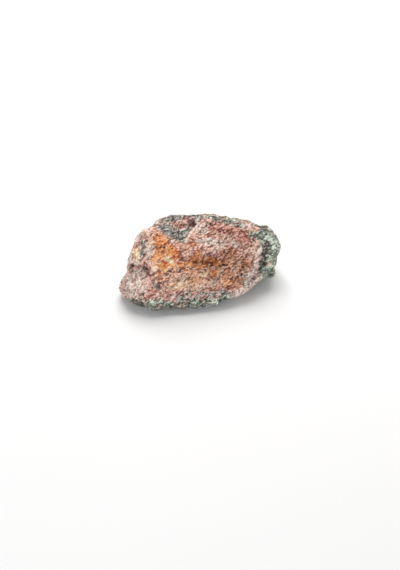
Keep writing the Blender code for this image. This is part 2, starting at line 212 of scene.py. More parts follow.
# place of the middling crystals among the sizes; pits: share of them, depth and sloping side
MIDDLING = 1
PIT_SHARE = 0.03
PIT_DEPTH = 0.30
PIT_SIDE = 0.4
GRAIN_SIZE = 0.9
GRAIN_SEED = 54
# weights of the large crystal, the middling one and the grain in the tone of the grain
GRAIN_TONE = (0.35, 0.40, 0.25)
# hollows in the resting face
SOLE_RELIEF_SIZE = 5.0
SOLE_RELIEF_SEED = 55

# grain of the rock: bearing and rise that crystals are drawn out along, and the share taken off
# distances along it
DRAWN_ALONG = (36, 14)
DRAWN_SHARE = 0.50

# share of each mineral skin on each face: red, rust, pale, grey, mint; the rest is salmon pink
SKINS = ("red", "rust", "pale", "grey", "mint")
FACE_SKINS = {
    "lower_face": (0.16, 0.26, 0.20, 0.04, 0.02),
    "broad_face": (0.18, 0.10, 0.12, 0.03, 0.02),
    "left_face": (0.05, 0.14, 0.22, 0.08, 0.02),
    "left_slope": (0.05, 0.05, 0.66, 0.04, 0.10),
    "front_rim": (0.10, 0.05, 0.50, 0.14, 0.24),
    "front_right": (0.08, 0.05, 0.58, 0.08, 0.32),
    "right_end": (0.12, 0.06, 0.30, 0.16, 0.50),
    "right_shoulder": (0.18, 0.02, 0.22, 0.05, 0.62),
    "top_strip": (0.12, 0.02, 0.40, 0.14, 0.64),
    "top_left": (0.18, 0.02, 0.25, 0.50, 0.38),
    "back_upper": (0.18, 0.06, 0.30, 0.10, 0.30),
    "back_upper_right": (0.20, 0.06, 0.34, 0.06, 0.34),
    "back_wall": (0.22, 0.12, 0.18, 0.10, 0.22),
    "back_right": (0.16, 0.05, 0.20, 0.05, 0.50),
    "back_left": (0.10, 0.08, 0.38, 0.10, 0.25),
    "left_side": (0.10, 0.05, 0.58, 0.05, 0.20),
    "left_shoulder": (0.05, 0.02, 0.58, 0.12, 0.38),
    "left_front": (0.06, 0.04, 0.62, 0.14, 0.18),
    "underside_front": (0.03, 0.02, 0.10, 0.30, 1.00),
    "underside_right": (0.05, 0.04, 0.20, 0.15, 0.80),
    "underside_back": (0.10, 0.06, 0.20, 0.15, 0.55),
    "underside_left": (0.05, 0.04, 0.25, 0.20, 0.60),
    "sole": (0.05, 0.04, 0.20, 0.20, 0.60),
}
TOE_SKINS = (0.03, 0.03, 0.66, 0.28, 0.10)
TAIL_SKINS = (0.05, 0.02, 0.24, 0.06, 0.95)
CHIP_SKINS = (0.34, 0.04, 0.08, 0.62, 0.16)
FACE_BLEND = 0.8
CHIP_BLEND = (-0.35, -0.9)
SKIN_DRIFT = 0.7
SKIN_DRIFT_SIZE = 8.0
SKIN_DRIFT_SEEDS = (61, 65, 62, 63, 64)

# paths that more than one mark follows
BOTTOM_EDGE = [(-30.0, -20.7, 2.0), (-24.0, -25.3, 3.2), (-16.7, -25.2, 2.6), (-3.6, -23.2, 2.2)]
CHIP_REAR = [(-15.1, 15.6, 29.2), (-8.6, 15.5, 29.2), (-2.2, 18.5, 27.7)]
CHIP_CREST = [(-0.7, 15.0, 28.3), (-3.1, 4.9, 29.6), (-7.0, -1.8, 27.2)]

# marks by what they bring: how much (below zero takes away), half width, points of the line
MARKS = {
    "orange": (
        (1.0, 3.2, [(-20.7, 1.2, 26.8), (-18.3, -1.2, 26.1)]),
        (1.0, 3.6, [(-19.7, -5.5, 23.9), (-15.8, -5.3, 24.3), (-12.8, -7.5, 22.9)]),
        (0.5, 2.4, [(-21.6, -4.2, 24.1), (-20.6, -8.3, 22.3)]),
        (0.6, 3.2, [(-17.2, -12.4, 19.9), (-16.2, -16.3, 16.8)]),
        (0.5, 2.8, [(-8.0, -13.1, 18.6), (-5.5, -14.3, 16.4)]),
        (1.0, 3.3, [(-1.7, -8.4, 21.1), (0.8, -9.3, 19.4)]),
        (0.85, 2.6, [(4.2, -8.0, 20.2), (7.1, -8.4, 18.6)]),
        (0.9, 1.5, [(-13.3, -12.8, 20.2), (-8.4, -11.6, 20.5), (-4.1, -10.0, 19.8)]),
        (0.85, 1.4, [(-19.1, -13.7, 19.0), (-15.7, -12.7, 20.1)]),
        (0.4, 4.2, [(-5.6, -5.3, 24.9), (0.3, -5.0, 23.5), (4.2, -6.9, 21.2), (6.1, -11.3, 17.2)]),
        (0.5, 4.6, [(-20.1, -10.8, 20.5), (-14.2, -14.5, 18.4), (-9.4, -18.2, 12.6)]),
        (0.42, 3.0, [(0.3, -15.3, 14.7), (11.0, -13.8, 12.9), (16.9, -12.3, 12.4)]),
        (0.8, 2.6, [(4.0, 27.0, 15.0), (9.0, 26.6, 13.0)]),
    ),
    "tan": (
        (0.6, 5.5, [(-21.1, -9.2, 21.8), (-16.2, -15.1, 18.3), (-8.4, -15.4, 16.6),
                    (-1.7, -13.5, 16.4)]),
        (0.62, 3.4, [(-14.2, -19.0, 13.2), (-6.5, -17.8, 12.3), (3.2, -17.3, 12.6)]),
        (0.6, 2.6, [(-32.2, 2.7, 21.3), (-32.1, -4.2, 17.9)]),
        (0.6, 2.6, [(16.4, -5.4, 17.5), (19.9, -4.7, 17.1)]),
        (0.45, 3.0, [(-6.5, -4.5, 25.6), (-2.6, -2.5, 25.3)]),
        (0.4, 2.2, [(-25.2, 4.4, 27.5), (-24.0, -7.6, 21.7)]),
        (0.7, 3.0, [(-35.0, 6.0, 14.0), (-33.0, 12.0, 10.0)]),
        (0.8, 3.4, [(-10.0, 26.0, 9.0), (4.0, 26.8, 11.0)]),
    ),
    "cream": (
        (0.95, 1.9, [(-16.2, -9.1, 22.2), (-13.8, -10.9, 21.2)]),
        (0.5, 1.4, [(-22.0, -11.5, 19.8), (-21.0, -14.3, 18.3)]),
        (0.95, 1.7, [(-13.8, -19.2, 12.8), (-8.0, -18.3, 12.1)]),
        (0.9, 1.7, [(-32.1, -0.7, 20.2), (-31.1, -4.4, 18.6)]),
        (0.5, 1.4, [(0.3, -14.6, 15.4), (2.7, -13.2, 16.2)]),
        (0.45, 1.6, [(-25.2, 3.8, 27.3), (-24.1, 0.0, 25.8)]),
        (0.8, 1.8, [(-4.0, 26.5, 8.0), (2.0, 26.5, 7.0)]),
    ),
    "rust": (
        (0.95, 5.0, [(7.1, -10.4, 17.7), (15.0, -8.0, 15.8), (22.8, -7.7, 14.4)]),
        (0.95, 4.5, [(3.2, -17.0, 13.0), (13.0, -14.6, 11.6), (19.8, -11.9, 12.0)]),
        (0.6, 3.2, [(-5.5, -12.0, 18.9), (-4.6, -14.6, 14.8), (-1.7, -17.3, 11.9)]),
        (0.85, 2.8, [(12.0, -3.7, 21.2), (17.4, -2.8, 19.3)]),
        (0.7, 3.5, [(-14.0, 26.0, 17.0), (-6.0, 27.0, 13.0)]),
    ),
    "red": (
        (0.78, 3.4, [(6.2, 8.1, 28.4), (12.1, 8.9, 27.2), (18.0, 7.9, 25.5), (23.0, 6.1, 23.2)]),
        (0.9, 2.0, [(12.0, -3.3, 21.5), (16.0, -3.0, 19.5)]),
        (0.8, 1.5, [(2.2, 1.3, 26.7), (5.2, 1.8, 25.8)]),
        (0.8, 1.7, [(26.1, 13.0, 25.5), (28.0, 11.2, 24.3)]),
        (0.9, 2.3, [(-11.1, 10.8, 28.3), (-9.1, 9.0, 27.8)]),
        (0.8, 2.4, [(-5.7, 15.8, 29.0), (-3.7, 11.3, 27.9)]),
        (0.7, 1.6, [(-14.6, 14.0, 29.1), (-14.0, 12.8, 28.7)]),
        (0.55, 2.6, [(-25.4, -22.5, 9.8), (-17.2, -22.1, 9.5)]),
        (0.55, 2.4, [(11.0, -17.6, 9.1), (15.4, -17.2, 7.4)]),
        (0.45, 2.2, [(23.9, -2.5, 17.8), (25.8, -4.5, 15.7)]),
        (-1.0, 2.2, BOTTOM_EDGE),
        (0.85, 3.0, [(21.0, 4.1, 22.8), (23.4, -0.4, 20.0)]),
        (0.45, 2.2, [(26.4, 4.7, 22.4), (27.8, 1.2, 21.2)]),
        (0.7, 4.0, [(-4.0, 24.0, 23.0), (8.0, 23.0, 24.0)]),
        (0.6, 3.0, [(36.0, 14.0, 14.0), (37.0, 8.0, 10.0)]),
    ),
    "pale": (
        (0.6, 2.4, [(-25.3, 7.1, 27.9), (-24.6, -1.2, 24.9), (-24.0, -10.4, 20.2)]),
        # pale along the rim of the broad face and the band below it, partly painted highlight on
        # the lit edges
        (0.95, 2.2, [(29.8, 0.8, 20.9), (28.8, -2.7, 16.8), (27.3, -6.3, 12.6),
                     (23.8, -12.0, 10.8)]),
        (0.8, 2.6, [(28.9, -8.3, 8.5), (21.9, -14.1, 6.2), (13.0, -18.2, 3.2)]),
        (0.6, 3.0, [(-0.7, 4.2, 28.9), (2.2, 7.2, 29.1)]),
        (0.7, 2.6, [(0.8, -0.7, 25.7), (9.1, 0.4, 24.3)]),
        (0.6, 1.8, [(15.5, 1.6, 23.4), (18.0, 1.3, 22.4)]),
        # painted highlight along the lit crest of the chip
        (0.95, 1.1, [(-0.7, 16.3, 28.6), (-3.6, 5.0, 29.4), (-7.0, -1.3, 27.5)]),
        (0.6, 2.8, [(0.3, 17.0, 28.7), (6.2, 15.8, 28.9)]),
        (0.5, 2.4, [(16.1, 13.2, 27.2), (25.1, 13.1, 26.0)]),
        (0.3, 4.6, [(-31.7, -18.0, 12.5), (-23.9, -21.1, 12.4)]),
        (0.3, 4.6, [(-7.5, -20.6, 8.9), (10.0, -17.7, 9.1)]),
        (-0.8, 3.0, [(12.1, 8.9, 27.2), (23.0, 6.1, 23.2)]),
        (0.8, 2.6, [(-24.0, 22.0, 9.0), (-14.0, 26.0, 5.0)]),
        (0.7, 2.4, [(-37.0, -4.0, 9.0), (-38.0, 4.0, 8.0), (-36.0, 10.0, 7.0)]),
    ),
    "mint": (
        (0.55, 1.9, [(-21.0, 12.5, 28.3), (-17.0, 12.7, 28.8)]),
        (1.0, 2.8, [(-0.2, 17.0, 28.7), (6.3, 17.5, 28.4)]),
        (0.85, 1.5, [(8.7, 13.4, 28.9), (13.7, 13.8, 27.9)]),
        (0.8, 1.9, [(15.6, 13.0, 27.3), (20.1, 12.7, 26.9)]),
        (0.6, 1.5, [(25.0, 9.5, 24.3), (27.0, 9.4, 23.8)]),
        (0.7, 1.2, [(-28.2, 2.2, 24.2), (-27.6, -1.4, 21.9), (-28.1, -5.2, 19.9)]),
        (0.95, 2.0, [(-33.9, -19.6, 3.7), (-24.0, -24.8, 4.8), (-9.4, -24.4, 3.8),
                     (2.7, -22.1, 3.8), (11.0, -19.1, 3.9)]),
        (1.0, 2.2, BOTTOM_EDGE),
        (0.7, 1.2, [(21.3, -13.0, 9.7), (22.8, -12.6, 10.1)]),
        (0.7, 1.3, [(-24.9, -24.0, 7.2), (-21.5, -24.4, 7.0)]),
        (0.75, 1.7, [(-11.5, 1.7, 27.0), (-8.0, -1.8, 27.1)]),
        (0.35, 2.0, [(-19.5, 11.0, 28.2), (-15.0, 7.0, 27.4)]),
        (0.35, 2.8, [(-9.4, -22.4, 6.6), (1.3, -21.0, 6.7), (12.0, -18.6, 7.3)]),
        (-0.95, 3.4, [(21.5, 5.3, 23.1), (23.4, -1.1, 19.3)]),
        (-0.85, 2.8, [(26.4, 4.7, 22.4), (28.3, 0.8, 21.0)]),
        (-0.9, 2.6, [(28.8, 0.3, 20.7), (26.8, -7.3, 11.5)]),
        (1.0, 3.0, [(-34.0, -18.0, 1.5), (-24.0, -22.0, 1.5), (-9.0, -22.0, 1.0), (3.0, -20.0, 1.5),
                    (13.0, -17.0, 2.0)]),
        (0.9, 3.0, [(10.0, 26.0, 5.0), (22.0, 24.0, 7.0)]),
    ),
    "grey": (
        (0.9, 2.6, [(-16.5, 9.0, 27.8), (-12.5, 4.2, 27.0), (-8.0, 2.6, 26.3)]),
        (0.9, 2.2, [(-6.1, 10.4, 28.0), (-7.6, 2.7, 26.3)]),
        (0.85, 1.6, CHIP_REAR),
        (0.6, 1.6, [(-21.5, -20.2, 13.6), (-19.1, -20.4, 12.5)]),
        (0.65, 2.0, [(30.8, -3.0, 13.8), (29.9, -5.3, 10.6)]),
        (0.35, 2.4, [(11.0, -10.8, 14.3), (14.5, -10.1, 14.4)]),
        (0.55, 2.8, [(-9.4, -22.1, 7.0), (0.3, -20.8, 7.2), (9.1, -18.8, 7.5), (14.0, -17.8, 6.0)]),
        (0.35, 2.2, [(-12.3, -21.0, 9.3), (-4.6, -20.5, 8.8)]),
        (-0.75, 2.4, [(-11.1, 10.8, 28.3), (-9.1, 9.6, 27.9)]),
        (-0.75, 2.6, [(-6.6, 14.1, 29.0), (-3.7, 12.0, 28.0)]),
        (-0.9, 4.0, [(-19.1, -9.6, 22.0), (-4.6, -13.6, 16.5)]),
        (0.85, 2.6, [(-22.0, 23.0, 18.0), (-14.0, 25.5, 15.0)]),
    ),
    # tone marks: below zero painted shade (top rim, undercut bottom edge, recesses, back walls) and
    # the stone's own darker places; above zero painted highlight on the lit crest and rims and its
    # own lighter places
    "tone": (
        (-0.12, 3.4, [(-7.5, -20.9, 8.6), (2.2, -20.0, 8.4), (11.0, -17.9, 8.6)]),
        # painted shade along the top strip
        (-0.5, 2.2, [(7.2, 12.5, 29.5), (14.1, 13.3, 27.7), (19.1, 12.6, 27.0)]),
        (-0.55, 1.5, [(31.1, 14.0, 24.1), (33.0, 10.8, 24.0)]),
        (-0.5, 1.9, [(27.0, 8.4, 23.3), (30.9, 7.3, 22.8)]),
        (-0.55, 1.3, [(33.9, 5.4, 21.2), (33.3, 0.5, 18.6)]),
        (-0.25, 1.7, [(31.8, -0.2, 18.6), (31.3, -2.6, 14.2)]),
        (-0.25, 2.2, [(30.8, -3.2, 13.4), (29.9, -5.3, 10.6)]),
        (-0.55, 1.7, [(34.6, -2.5, 5.9), (36.6, -1.4, 6.9)]),
        (0.45, 1.6, [(33.4, 7.8, 23.1), (34.9, 6.2, 21.8)]),
        (0.35, 1.0, [(34.3, -0.4, 17.5), (34.4, -2.1, 12.5)]),
        (0.3, 1.7, [(36.9, 6.8, 20.7), (37.4, 3.6, 18.2)]),
        (-0.3, 1.5, [(-28.1, -0.9, 21.6), (-28.6, -2.6, 21.0)]),
        (-0.35, 1.9, [(-14.5, 6.1, 27.4), (-13.5, 5.4, 27.3)]),
        (-0.35, 2.2, [(-5.7, 15.8, 29.0), (-3.2, 12.1, 28.0)]),
        (-0.35, 3.4, [(-17.5, 11.4, 28.5), (-14.4, 4.6, 27.3), (-9.5, 2.3, 26.6)]),
        (-0.6, 1.4, CHIP_REAR),
        # painted shade along the top rim
        (-0.32, 1.8, [(0.3, 17.0, 28.7), (7.3, 17.8, 28.2), (16.2, 18.3, 26.6),
                      (25.1, 15.7, 26.0)]),
        (-0.3, 2.4, [(32.1, 12.4, 24.0), (35.4, 8.5, 23.2)]),
        (0.25, 2.4, [(34.9, 7.4, 22.8), (36.8, 3.2, 18.5)]),
        (0.35, 1.1, [(9.1, -8.6, 18.2), (14.0, -7.1, 16.4), (19.9, -6.8, 15.5)]),
        (-0.12, 4.2, [(6.2, 7.0, 28.0), (15.1, 6.7, 25.8), (22.0, 5.4, 23.1)]),
        (-0.22, 2.4, [(-34.8, -2.7, 11.8), (-27.0, -10.7, 16.7)]),
        (-0.1, 1.7, [(29.9, 5.2, 21.9), (31.8, 0.7, 19.1), (30.8, -2.7, 14.3)]),
        (-0.2, 5.0, [(33.9, 5.7, 21.6), (33.8, -1.1, 16.8)]),
        (0.12, 4.0, [(-30.7, -18.8, 12.5), (-25.8, -21.0, 12.4)]),
        (-0.4, 1.8, [(-30.9, -11.2, 15.3), (-25.9, -14.9, 16.2)]),
        (0.18, 2.5, [(-0.7, -19.2, 9.7), (4.2, -19.3, 9.1)]),
        # painted shade along the undercut bottom edge
        (-0.42, 1.7, [(-33.4, -19.7, 3.2), (-24.0, -25.3, 3.9), (-9.4, -24.4, 2.5),
                      (1.3, -22.6, 3.0)]),
        (-0.3, 2.4, [(-28.9, -22.4, 5.3), (-9.4, -23.6, 5.0), (5.2, -21.4, 4.5)]),
        (-0.35, 1.5, BOTTOM_EDGE),
        (-0.32, 1.3, [(-21.0, -20.1, 13.5), (-19.6, -20.4, 12.5)]),
        (-0.3, 2.0, [(-34.0, -8.3, 13.6), (-32.9, -13.9, 13.0)]),
        (-0.18, 3.2, [(19.9, -4.7, 17.1), (23.8, -7.5, 14.2)]),
        (-0.15, 2.4, [(13.0, -3.8, 20.7), (17.9, -3.5, 18.6)]),
        (-0.3, 4.4, [(-0.7, -8.2, 21.6), (5.2, -8.6, 19.4)]),
        (0.22, 3.0, [(-5.6, -2.3, 26.3), (-2.6, -2.0, 25.5)]),
        (-0.2, 3.0, [(19.9, -9.0, 14.1), (21.3, -11.3, 12.2)]),
        (-0.2, 3.0, [(-37.4, -12.3, 10.4), (-35.7, -18.2, 8.8)]),
        (0.25, 1.8, [(-5.6, -23.2, 4.7), (6.1, -21.2, 5.0)]),
        (-0.2, 6.5, [(6.1, -11.3, 17.2), (15.9, -9.4, 14.5), (22.8, -9.4, 13.2)]),
        (0.15, 2.5, [(23.0, 10.4, 25.5), (26.0, 10.2, 24.4)]),
        # painted highlight along the lit crest of the chip and the rims
        (0.8, 1.0, CHIP_CREST),
        (0.6, 1.9, [(29.3, 0.0, 20.3), (28.3, -2.8, 16.9), (26.8, -7.0, 12.0)]),
        (0.25, 1.6, [(27.8, -9.3, 8.7), (21.4, -14.4, 6.5), (14.0, -17.9, 4.2)]),
        (-0.12, 3.0, [(0.3, 17.0, 28.7), (6.2, 15.8, 28.9)]),
        (0.3, 2.6, [(-25.3, 7.1, 27.9), (-24.0, -10.4, 20.2)]),
        (0.25, 3.0, [(-30.8, -16.4, 13.7), (-27.8, -19.4, 13.6)]),
        (0.25, 3.0, [(0.3, -0.3, 26.1), (9.1, 0.0, 24.0)]),
        (0.2, 3.4, [(-20.1, -10.8, 20.5), (-14.2, -15.1, 17.6)]),
        (0.25, 2.2, [(-9.4, -18.2, 12.6), (-6.5, -18.1, 11.9)]),
        (0.25, 2.0, [(-16.2, -8.5, 22.5), (-13.8, -10.4, 21.4)]),
        # painted shade along the foot of the stone
        (-0.55, 2.6, [(-34.0, -18.0, 1.0), (-24.0, -22.0, 1.0), (-9.0, -22.0, 0.5),
                      (3.0, -20.0, 1.0), (13.0, -17.0, 1.5)]),
        (0.3, 2.4, [(14.0, 25.5, 12.0), (28.0, 20.0, 11.0)]),
        # painted shade over the back and along its foot
        (-0.35, 5.0, [(-28.0, 18.0, 20.0), (-10.0, 24.5, 23.0)]),
        (-0.3, 6.0, [(6.0, 26.0, 18.0), (20.0, 23.0, 17.0)]),
        (-0.3, 4.0, [(-22.0, 22.0, 4.0), (4.0, 25.0, 3.0), (20.0, 23.0, 4.0)]),
        (-0.35, 2.4, [(-38.0, -6.0, 5.0), (-38.0, 6.0, 4.0)]),
    ),
    # creases tinted dark red with painted shade: the notch, grooves, gullies and ledge undersides
    "maroon": (
        (0.45, 1.6, [(-34.3, -3.0, 12.6), (-31.5, -8.1, 15.3)]),
        (0.48, 1.4, [(-29.0, -8.2, 17.3), (-26.5, -10.5, 17.2)]),
        (0.25, 1.0, [(-24.0, -14.5, 17.2), (-21.0, -18.4, 15.3), (-19.1, -20.4, 12.5)]),
        (0.6, 0.9, [(-27.2, 4.4, 26.9), (-26.1, 0.9, 25.2)]),
        (0.45, 0.7, [(3.2, -8.9, 19.7), (6.1, -8.8, 18.9)]),
        (0.45, 1.0, [(22.9, -5.7, 15.3), (24.3, -5.9, 14.9)]),
        (0.6, 1.3, [(20.0, 7.3, 24.7), (23.0, 7.2, 23.6)]),
        (0.6, 2.6, [(-6.2, 15.0, 28.9), (-3.7, 12.0, 28.0)]),
        (0.35, 2.2, [(-11.6, 11.5, 28.4), (-9.1, 9.0, 27.8)]),
        (0.6, 0.8, [(-18.6, -17.1, 16.1), (-14.2, -14.5, 18.4)]),
        (0.5, 1.2, [(-11.3, -14.1, 18.1), (-7.5, -13.5, 18.2)]),
        (0.55, 1.4, [(34.0, -2.5, 7.8), (36.1, -1.8, 5.3)]),
        (0.4, 1.2, [(-21.2, -3.2, 24.6), (-17.2, -3.8, 25.0)]),
        (0.7, 1.4, [(-8.0, 26.0, 22.0), (-3.0, 27.0, 12.0), (-6.0, 25.0, 4.0)]),
        (0.6, 1.3, [(-36.0, 6.0, 18.0), (-33.0, 12.0, 8.0)]),
        (0.75, 1.1, [(12.0, 26.0, 18.0), (16.0, 25.0, 10.0), (13.0, 24.0, 4.0)]),
        (0.7, 1.0, [(-26.0, 20.0, 14.0), (-18.0, 24.0, 9.0), (-10.0, 25.5, 7.0)]),
    ),
    "fleck": (
        # no dark flecks on the painted highlight of the crest
        (-1.0, 1.3, CHIP_CREST),
        (0.5, 2.6, [(33.9, 8.3, 23.4), (35.8, 0.9, 17.8)]),
        (0.8, 2.2, [(8.7, 13.4, 28.9), (13.7, 13.8, 27.9)]),
        (0.6, 2.6, [(28.0, 9.5, 23.7), (34.1, 13.2, 23.5)]),
        (0.6, 2.2, [(-19.5, 11.5, 28.4), (-9.5, 2.3, 26.6)]),
        (0.5, 3.0, [(0.3, -9.3, 19.3), (22.9, -5.7, 15.3)]),
        (0.6, 2.4, [(-33.9, -19.6, 3.7), (-9.4, -24.4, 3.8), (11.0, -19.1, 3.9)]),
        (0.6, 3.0, [(18.0, 24.0, 15.0), (28.0, 19.0, 14.0)]),
    ),
    # glint marks: where white grains with painted highlight gather
    "glint": (
        (0.5, 6.0, [(-14.2, -15.7, 16.9), (5.1, -14.9, 14.4), (19.9, -9.9, 13.6)]),
        (1.0, 2.8, [(2.7, -1.6, 25.2), (6.6, -0.1, 24.7), (12.0, -1.5, 22.6)]),
        (0.9, 1.6, [(-3.6, -13.0, 16.7), (0.3, -13.8, 16.0)]),
        (0.8, 2.4, [(-0.7, 16.3, 28.6), (8.2, 17.2, 28.0)]),
        (0.7, 2.2, [(17.1, 13.3, 27.1), (27.1, 12.9, 24.9)]),
        (0.7, 3.2, [(-20.5, 12.8, 28.7), (-13.5, 7.8, 27.4), (-7.6, 4.3, 26.3)]),
        (0.6, 2.2, [(32.9, 7.8, 23.1), (36.9, 4.0, 19.1)]),
        (0.5, 2.0, [(-16.7, -8.6, 22.5), (-13.3, -11.4, 21.0)]),
        (0.6, 3.0, [(-16.0, 24.0, 20.0), (2.0, 25.0, 20.0)]),
    ),
}
# what only marks bring
ADDED = ("tan", "orange", "cream", "maroon", "tone", "glint", "fleck")
# wander of the marks' outlines: height, size and seeds
MARK_WANDER = ((0.9, 4.0, (71, 72, 73)), (0.5, 1.6, (74, 75, 76)))
# distances, in half widths, where a mark starts to show and where it is full
MARK_EDGE = (1.35, 0.55)

# hollows, for painted shade, and edges, for pale dust and painted highlight, found on the
# skin: rounds of smoothing, and depth that counts as full
HOLLOW_ROUNDS = 70
HOLLOW_FULL = 0.60
EDGE_FULL = 0.50

# mineral skins: what shows them, and their dark, common and bright grains as 0 to 255 on screen
PALETTES = {
    "salmon": ("pink faces", (142, 84, 70), (214, 156, 139), (255, 214, 194)),
    "red": ("red patches", (126, 66, 54), (202, 124, 104), (238, 180, 162)),
    "rust": ("rusty face", (126, 66, 42), (206, 132, 98), (248, 188, 152)),
    "tan": ("tan patches", (152, 90, 58), (228, 158, 114), (255, 212, 168)),
    "pale": ("pale skin", (164, 130, 118), (222, 190, 179), (255, 233, 222)),
    "grey": ("grey-green chip", (70, 70, 64), (142, 130, 120), (232, 224, 216)),
    "mint": ("green skin", (42, 54, 39), (140, 150, 132), (230, 242, 224)),
    "orange": ("orange stain", (188, 86, 30), (236, 136, 68), (255, 198, 132)),
    "cream": ("cream patches", (216, 146, 100), (255, 204, 160), (255, 246, 212)),
}
TONES = ("dark", "common", "bright")

MM_PER_METRE = 1000.0
# noises of the stone's material, per millimetre, and of the floor's, per metre
BEND_NOISE = {"Scale": 1.1, "Detail": 2.0}
MOTTLE_NOISE = {"Scale": 0.20, "Detail": 4.0, "Roughness": 0.68}
BUSY_NOISE = {"Scale": 0.42, "Detail": 1.0}
SPECKLE_NOISE = {"Scale": 3.2, "Detail": 3.0}
BOARD_NOISE = {"Scale": 9.0}
MIDDLE_GREY = (0.5, 0.5, 0.5)
FINE_BEND = 0.7

# picks that shares are held against: weight of the crystal's own pick, and the noise of the rest
PICKS = {
    "pick_a": (0.05, {"Scale": 0.30, "Detail": 1.5}),
    "pick_b": (0.03, {"Scale": 0.34, "Detail": 1.5, "Lacunarity": 2.3}),
}
PICK_GAIN = 2.6
SKIN_PICKS = {"red": "pick_a", "rust": "pick_b", "tan": "pick_a", "pale": "pick_b",
              "grey": "pick_a", "mint": "pick_b", "orange": "pick_a", "cream": "pick_b"}
# a share stretched so that none covers nothing and all covers everything, and its edge's gain
SHARE_STRETCH = (1.16, -0.08)
SHARE_GAIN = 2.4

# tone: its base, weights of the crystals' tone and of the mottle, and its gain
TONE_BASE = 0.225
TONE_WEIGHTS = (0.18, 0.37)
TONE_GAIN = 4.2
# fine grain in the tone: weights of its two sizes, contrast where quiet and gained where busy
FINE_WEIGHTS = (0.60, 0.40)
FINE_CONTRAST = (0.46, 0.50)
BUSY_GAIN = 3.0
# a dark tone mark, partly painted shade: its share that lowers the tone, and its share that dims
# the colour
SHADE_LOWERS = 0.5
SHADE_DIMS = 0.75
# weight of a pit in the painted shade of hollows
PIT_SHADE = 0.7
# pick that a glint, partly painted highlight on white grains, needs and a fleck stays below:
# base, and weights of its mark and of busy
GLINT_PICK = (1.0, -0.42, -0.07)
GLINT_SMALL_PICK = 0.35
FLECK_PICK = (-0.01, 0.16, 0.07)
# roughness: base, and weights of the grain's pick and of glints
ROUGHNESS = (0.60, 0.25, -0.35)
# bump: weights of the two sizes of fine grain and of the speckle, and its height in metres
BUMP_WEIGHTS = (0.55, 0.55, 0.16)
BUMP_HEIGHT = 0.001
STONE_IOR = 1.52

# stage lights: bearing and rise in degrees, power in watts, side of the square and colour
LIGHTS = {
    "key": (90.0, 49.0, 12.3, 0.75, (1.0, 0.985, 0.96)),
    "fill": (255.0, 14.0, 5.4, 0.6, (1.0, 0.99, 0.975)),
}
# the light from all round, and how bright it is where it is looked at
WORLD_COLOUR = (0.965, 0.98, 1.0)
WORLD_STRENGTH = 0.28
BACKDROP_STRENGTH = 1.1
# floor: how much its clouds darken it, and its roughness
BOARD_CLOUD = 0.985
BOARD_ROUGHNESS = 0.9
# camera: lens, sensor and near and far ends of its sight, its place in metres and its tilt
CAMERA_LENS = 85.0
CAMERA_SENSOR = 36.0
CAMERA_SIGHT = (0.01, 20.0)
CAMERA_PLACE = (-0.00015, -0.5176, 0.4321)
CAMERA_TILT = 50.0


def outward(bearing, rise):
    """Unit direction at a bearing in the XY plane and a rise above it."""
    b, r = math.radians(bearing), math.radians(rise)
    return np.array([math.cos(r) * math.cos(b), math.cos(r) * math.sin(b), math.sin(r)])


def noise(points, size, seed):
    """Smooth random hills from about -1 to 1, `size` across: random slopes on a lattice, each
    times the way from its corner, mixed by the fade 6 t^5 - 15 t^4 + 10 t^3."""
    slopes = np.random.default_rng(seed).normal(size=(NOISE_PERIOD,) * 3 + (3,))
    slopes /= np.linalg.norm(slopes, axis=-1, keepdims=True)
    scaled = points / size
    cell = np.floor(scaled).astype(int)
    part = scaled - cell
    fade = part**3 * (part * (part * 6.0 - 15.0) + 10.0)
    total = np.zeros(len(points))
    for corner in itertools.product((0, 1), repeat=3):
        index = (cell + corner) % NOISE_PERIOD
        slope = slopes[index[:, 0], index[:, 1], index[:, 2]]
        weight = np.prod(np.where(np.array(corner) == 1, fade, 1.0 - fade), axis=1)
        total += weight * np.einsum("ij,ij->i", slope, part - corner)
    return NOISE_GAIN * total


def noise_vectors(points, size, seeds):
    """Three noises side by side, as a shift for each point."""
    return np.stack([noise(points, size, seed) for seed in seeds], axis=1)


def larger(a, b, rounding):
    """The larger of two distances, with the corner where they meet rounded off: a quarter of the
    rounding, times the square of how near to each other the two are, is added."""
    near = np.maximum(rounding - np.abs(a - b), 0.0) / rounding
    return np.maximum(a, b) + near * near * rounding * 0.25


def smaller(a, b, rounding):
    """The smaller of two distances, rounded off in the same way."""
    return -larger(-a, -b, rounding)


def smooth_step(low, high, x):
    """0 up to low, 1 from high, and 3 t^2 - 2 t^3 of the share t of the way between them."""
    t = np.clip((x - low) / (high - low), 0.0, 1.0)
    return t * t * (3.0 - 2.0 * t)


def above_plane(points, bearing, rise, through):
    """Distance of points above a plane, along its outward direction."""
    return (points - through) @ outward(bearing, rise)


def outside_lump(points, middle, half_sizes, bearing):
    """Rough distance outside a rounded block: the shares of its half sizes, raised to its
    squareness, added up and rooted again, less one, times its smallest half size."""
    cos, sin = math.cos(math.radians(bearing)), math.sin(math.radians(bearing))
    turn = np.array([[cos, sin, 0.0], [-sin, cos, 0.0], [0.0, 0.0, 1.0]])
    share = np.abs((points - middle) @ turn.T) / half_sizes
    spread = np.sum(share**LUMP_SQUARENESS, axis=1) ** (1.0 / LUMP_SQUARENESS)
    return (spread - 1.0) * min(half_sizes)


def outside_unchipped(points):
    """Below zero inside the facets and lumps, above zero outside them."""
    distance = np.full(len(points), -SEARCH_REACH)
    for bearing, rise, through, rounding in FACETS.values():
        distance = larger(distance, above_plane(points, bearing, rise, through), rounding)
    for middle, half_sizes, bearing, blend in LUMPS.values():
        distance = smaller(distance, outside_lump(points, middle, half_sizes, bearing), blend)
    return distance


def outside_stone(points):
    """Below zero inside the stone, above zero outside it and in the chip."""
    floor = above_plane(points, *CHIP_FLOOR)
    wall = above_plane(points, *CHIP_WALL)
    chip = smaller(floor, wall, CHIP_CORNER_ROUNDING)
    return larger(outside_unchipped(points), chip, CHIP_EDGE_ROUNDING)


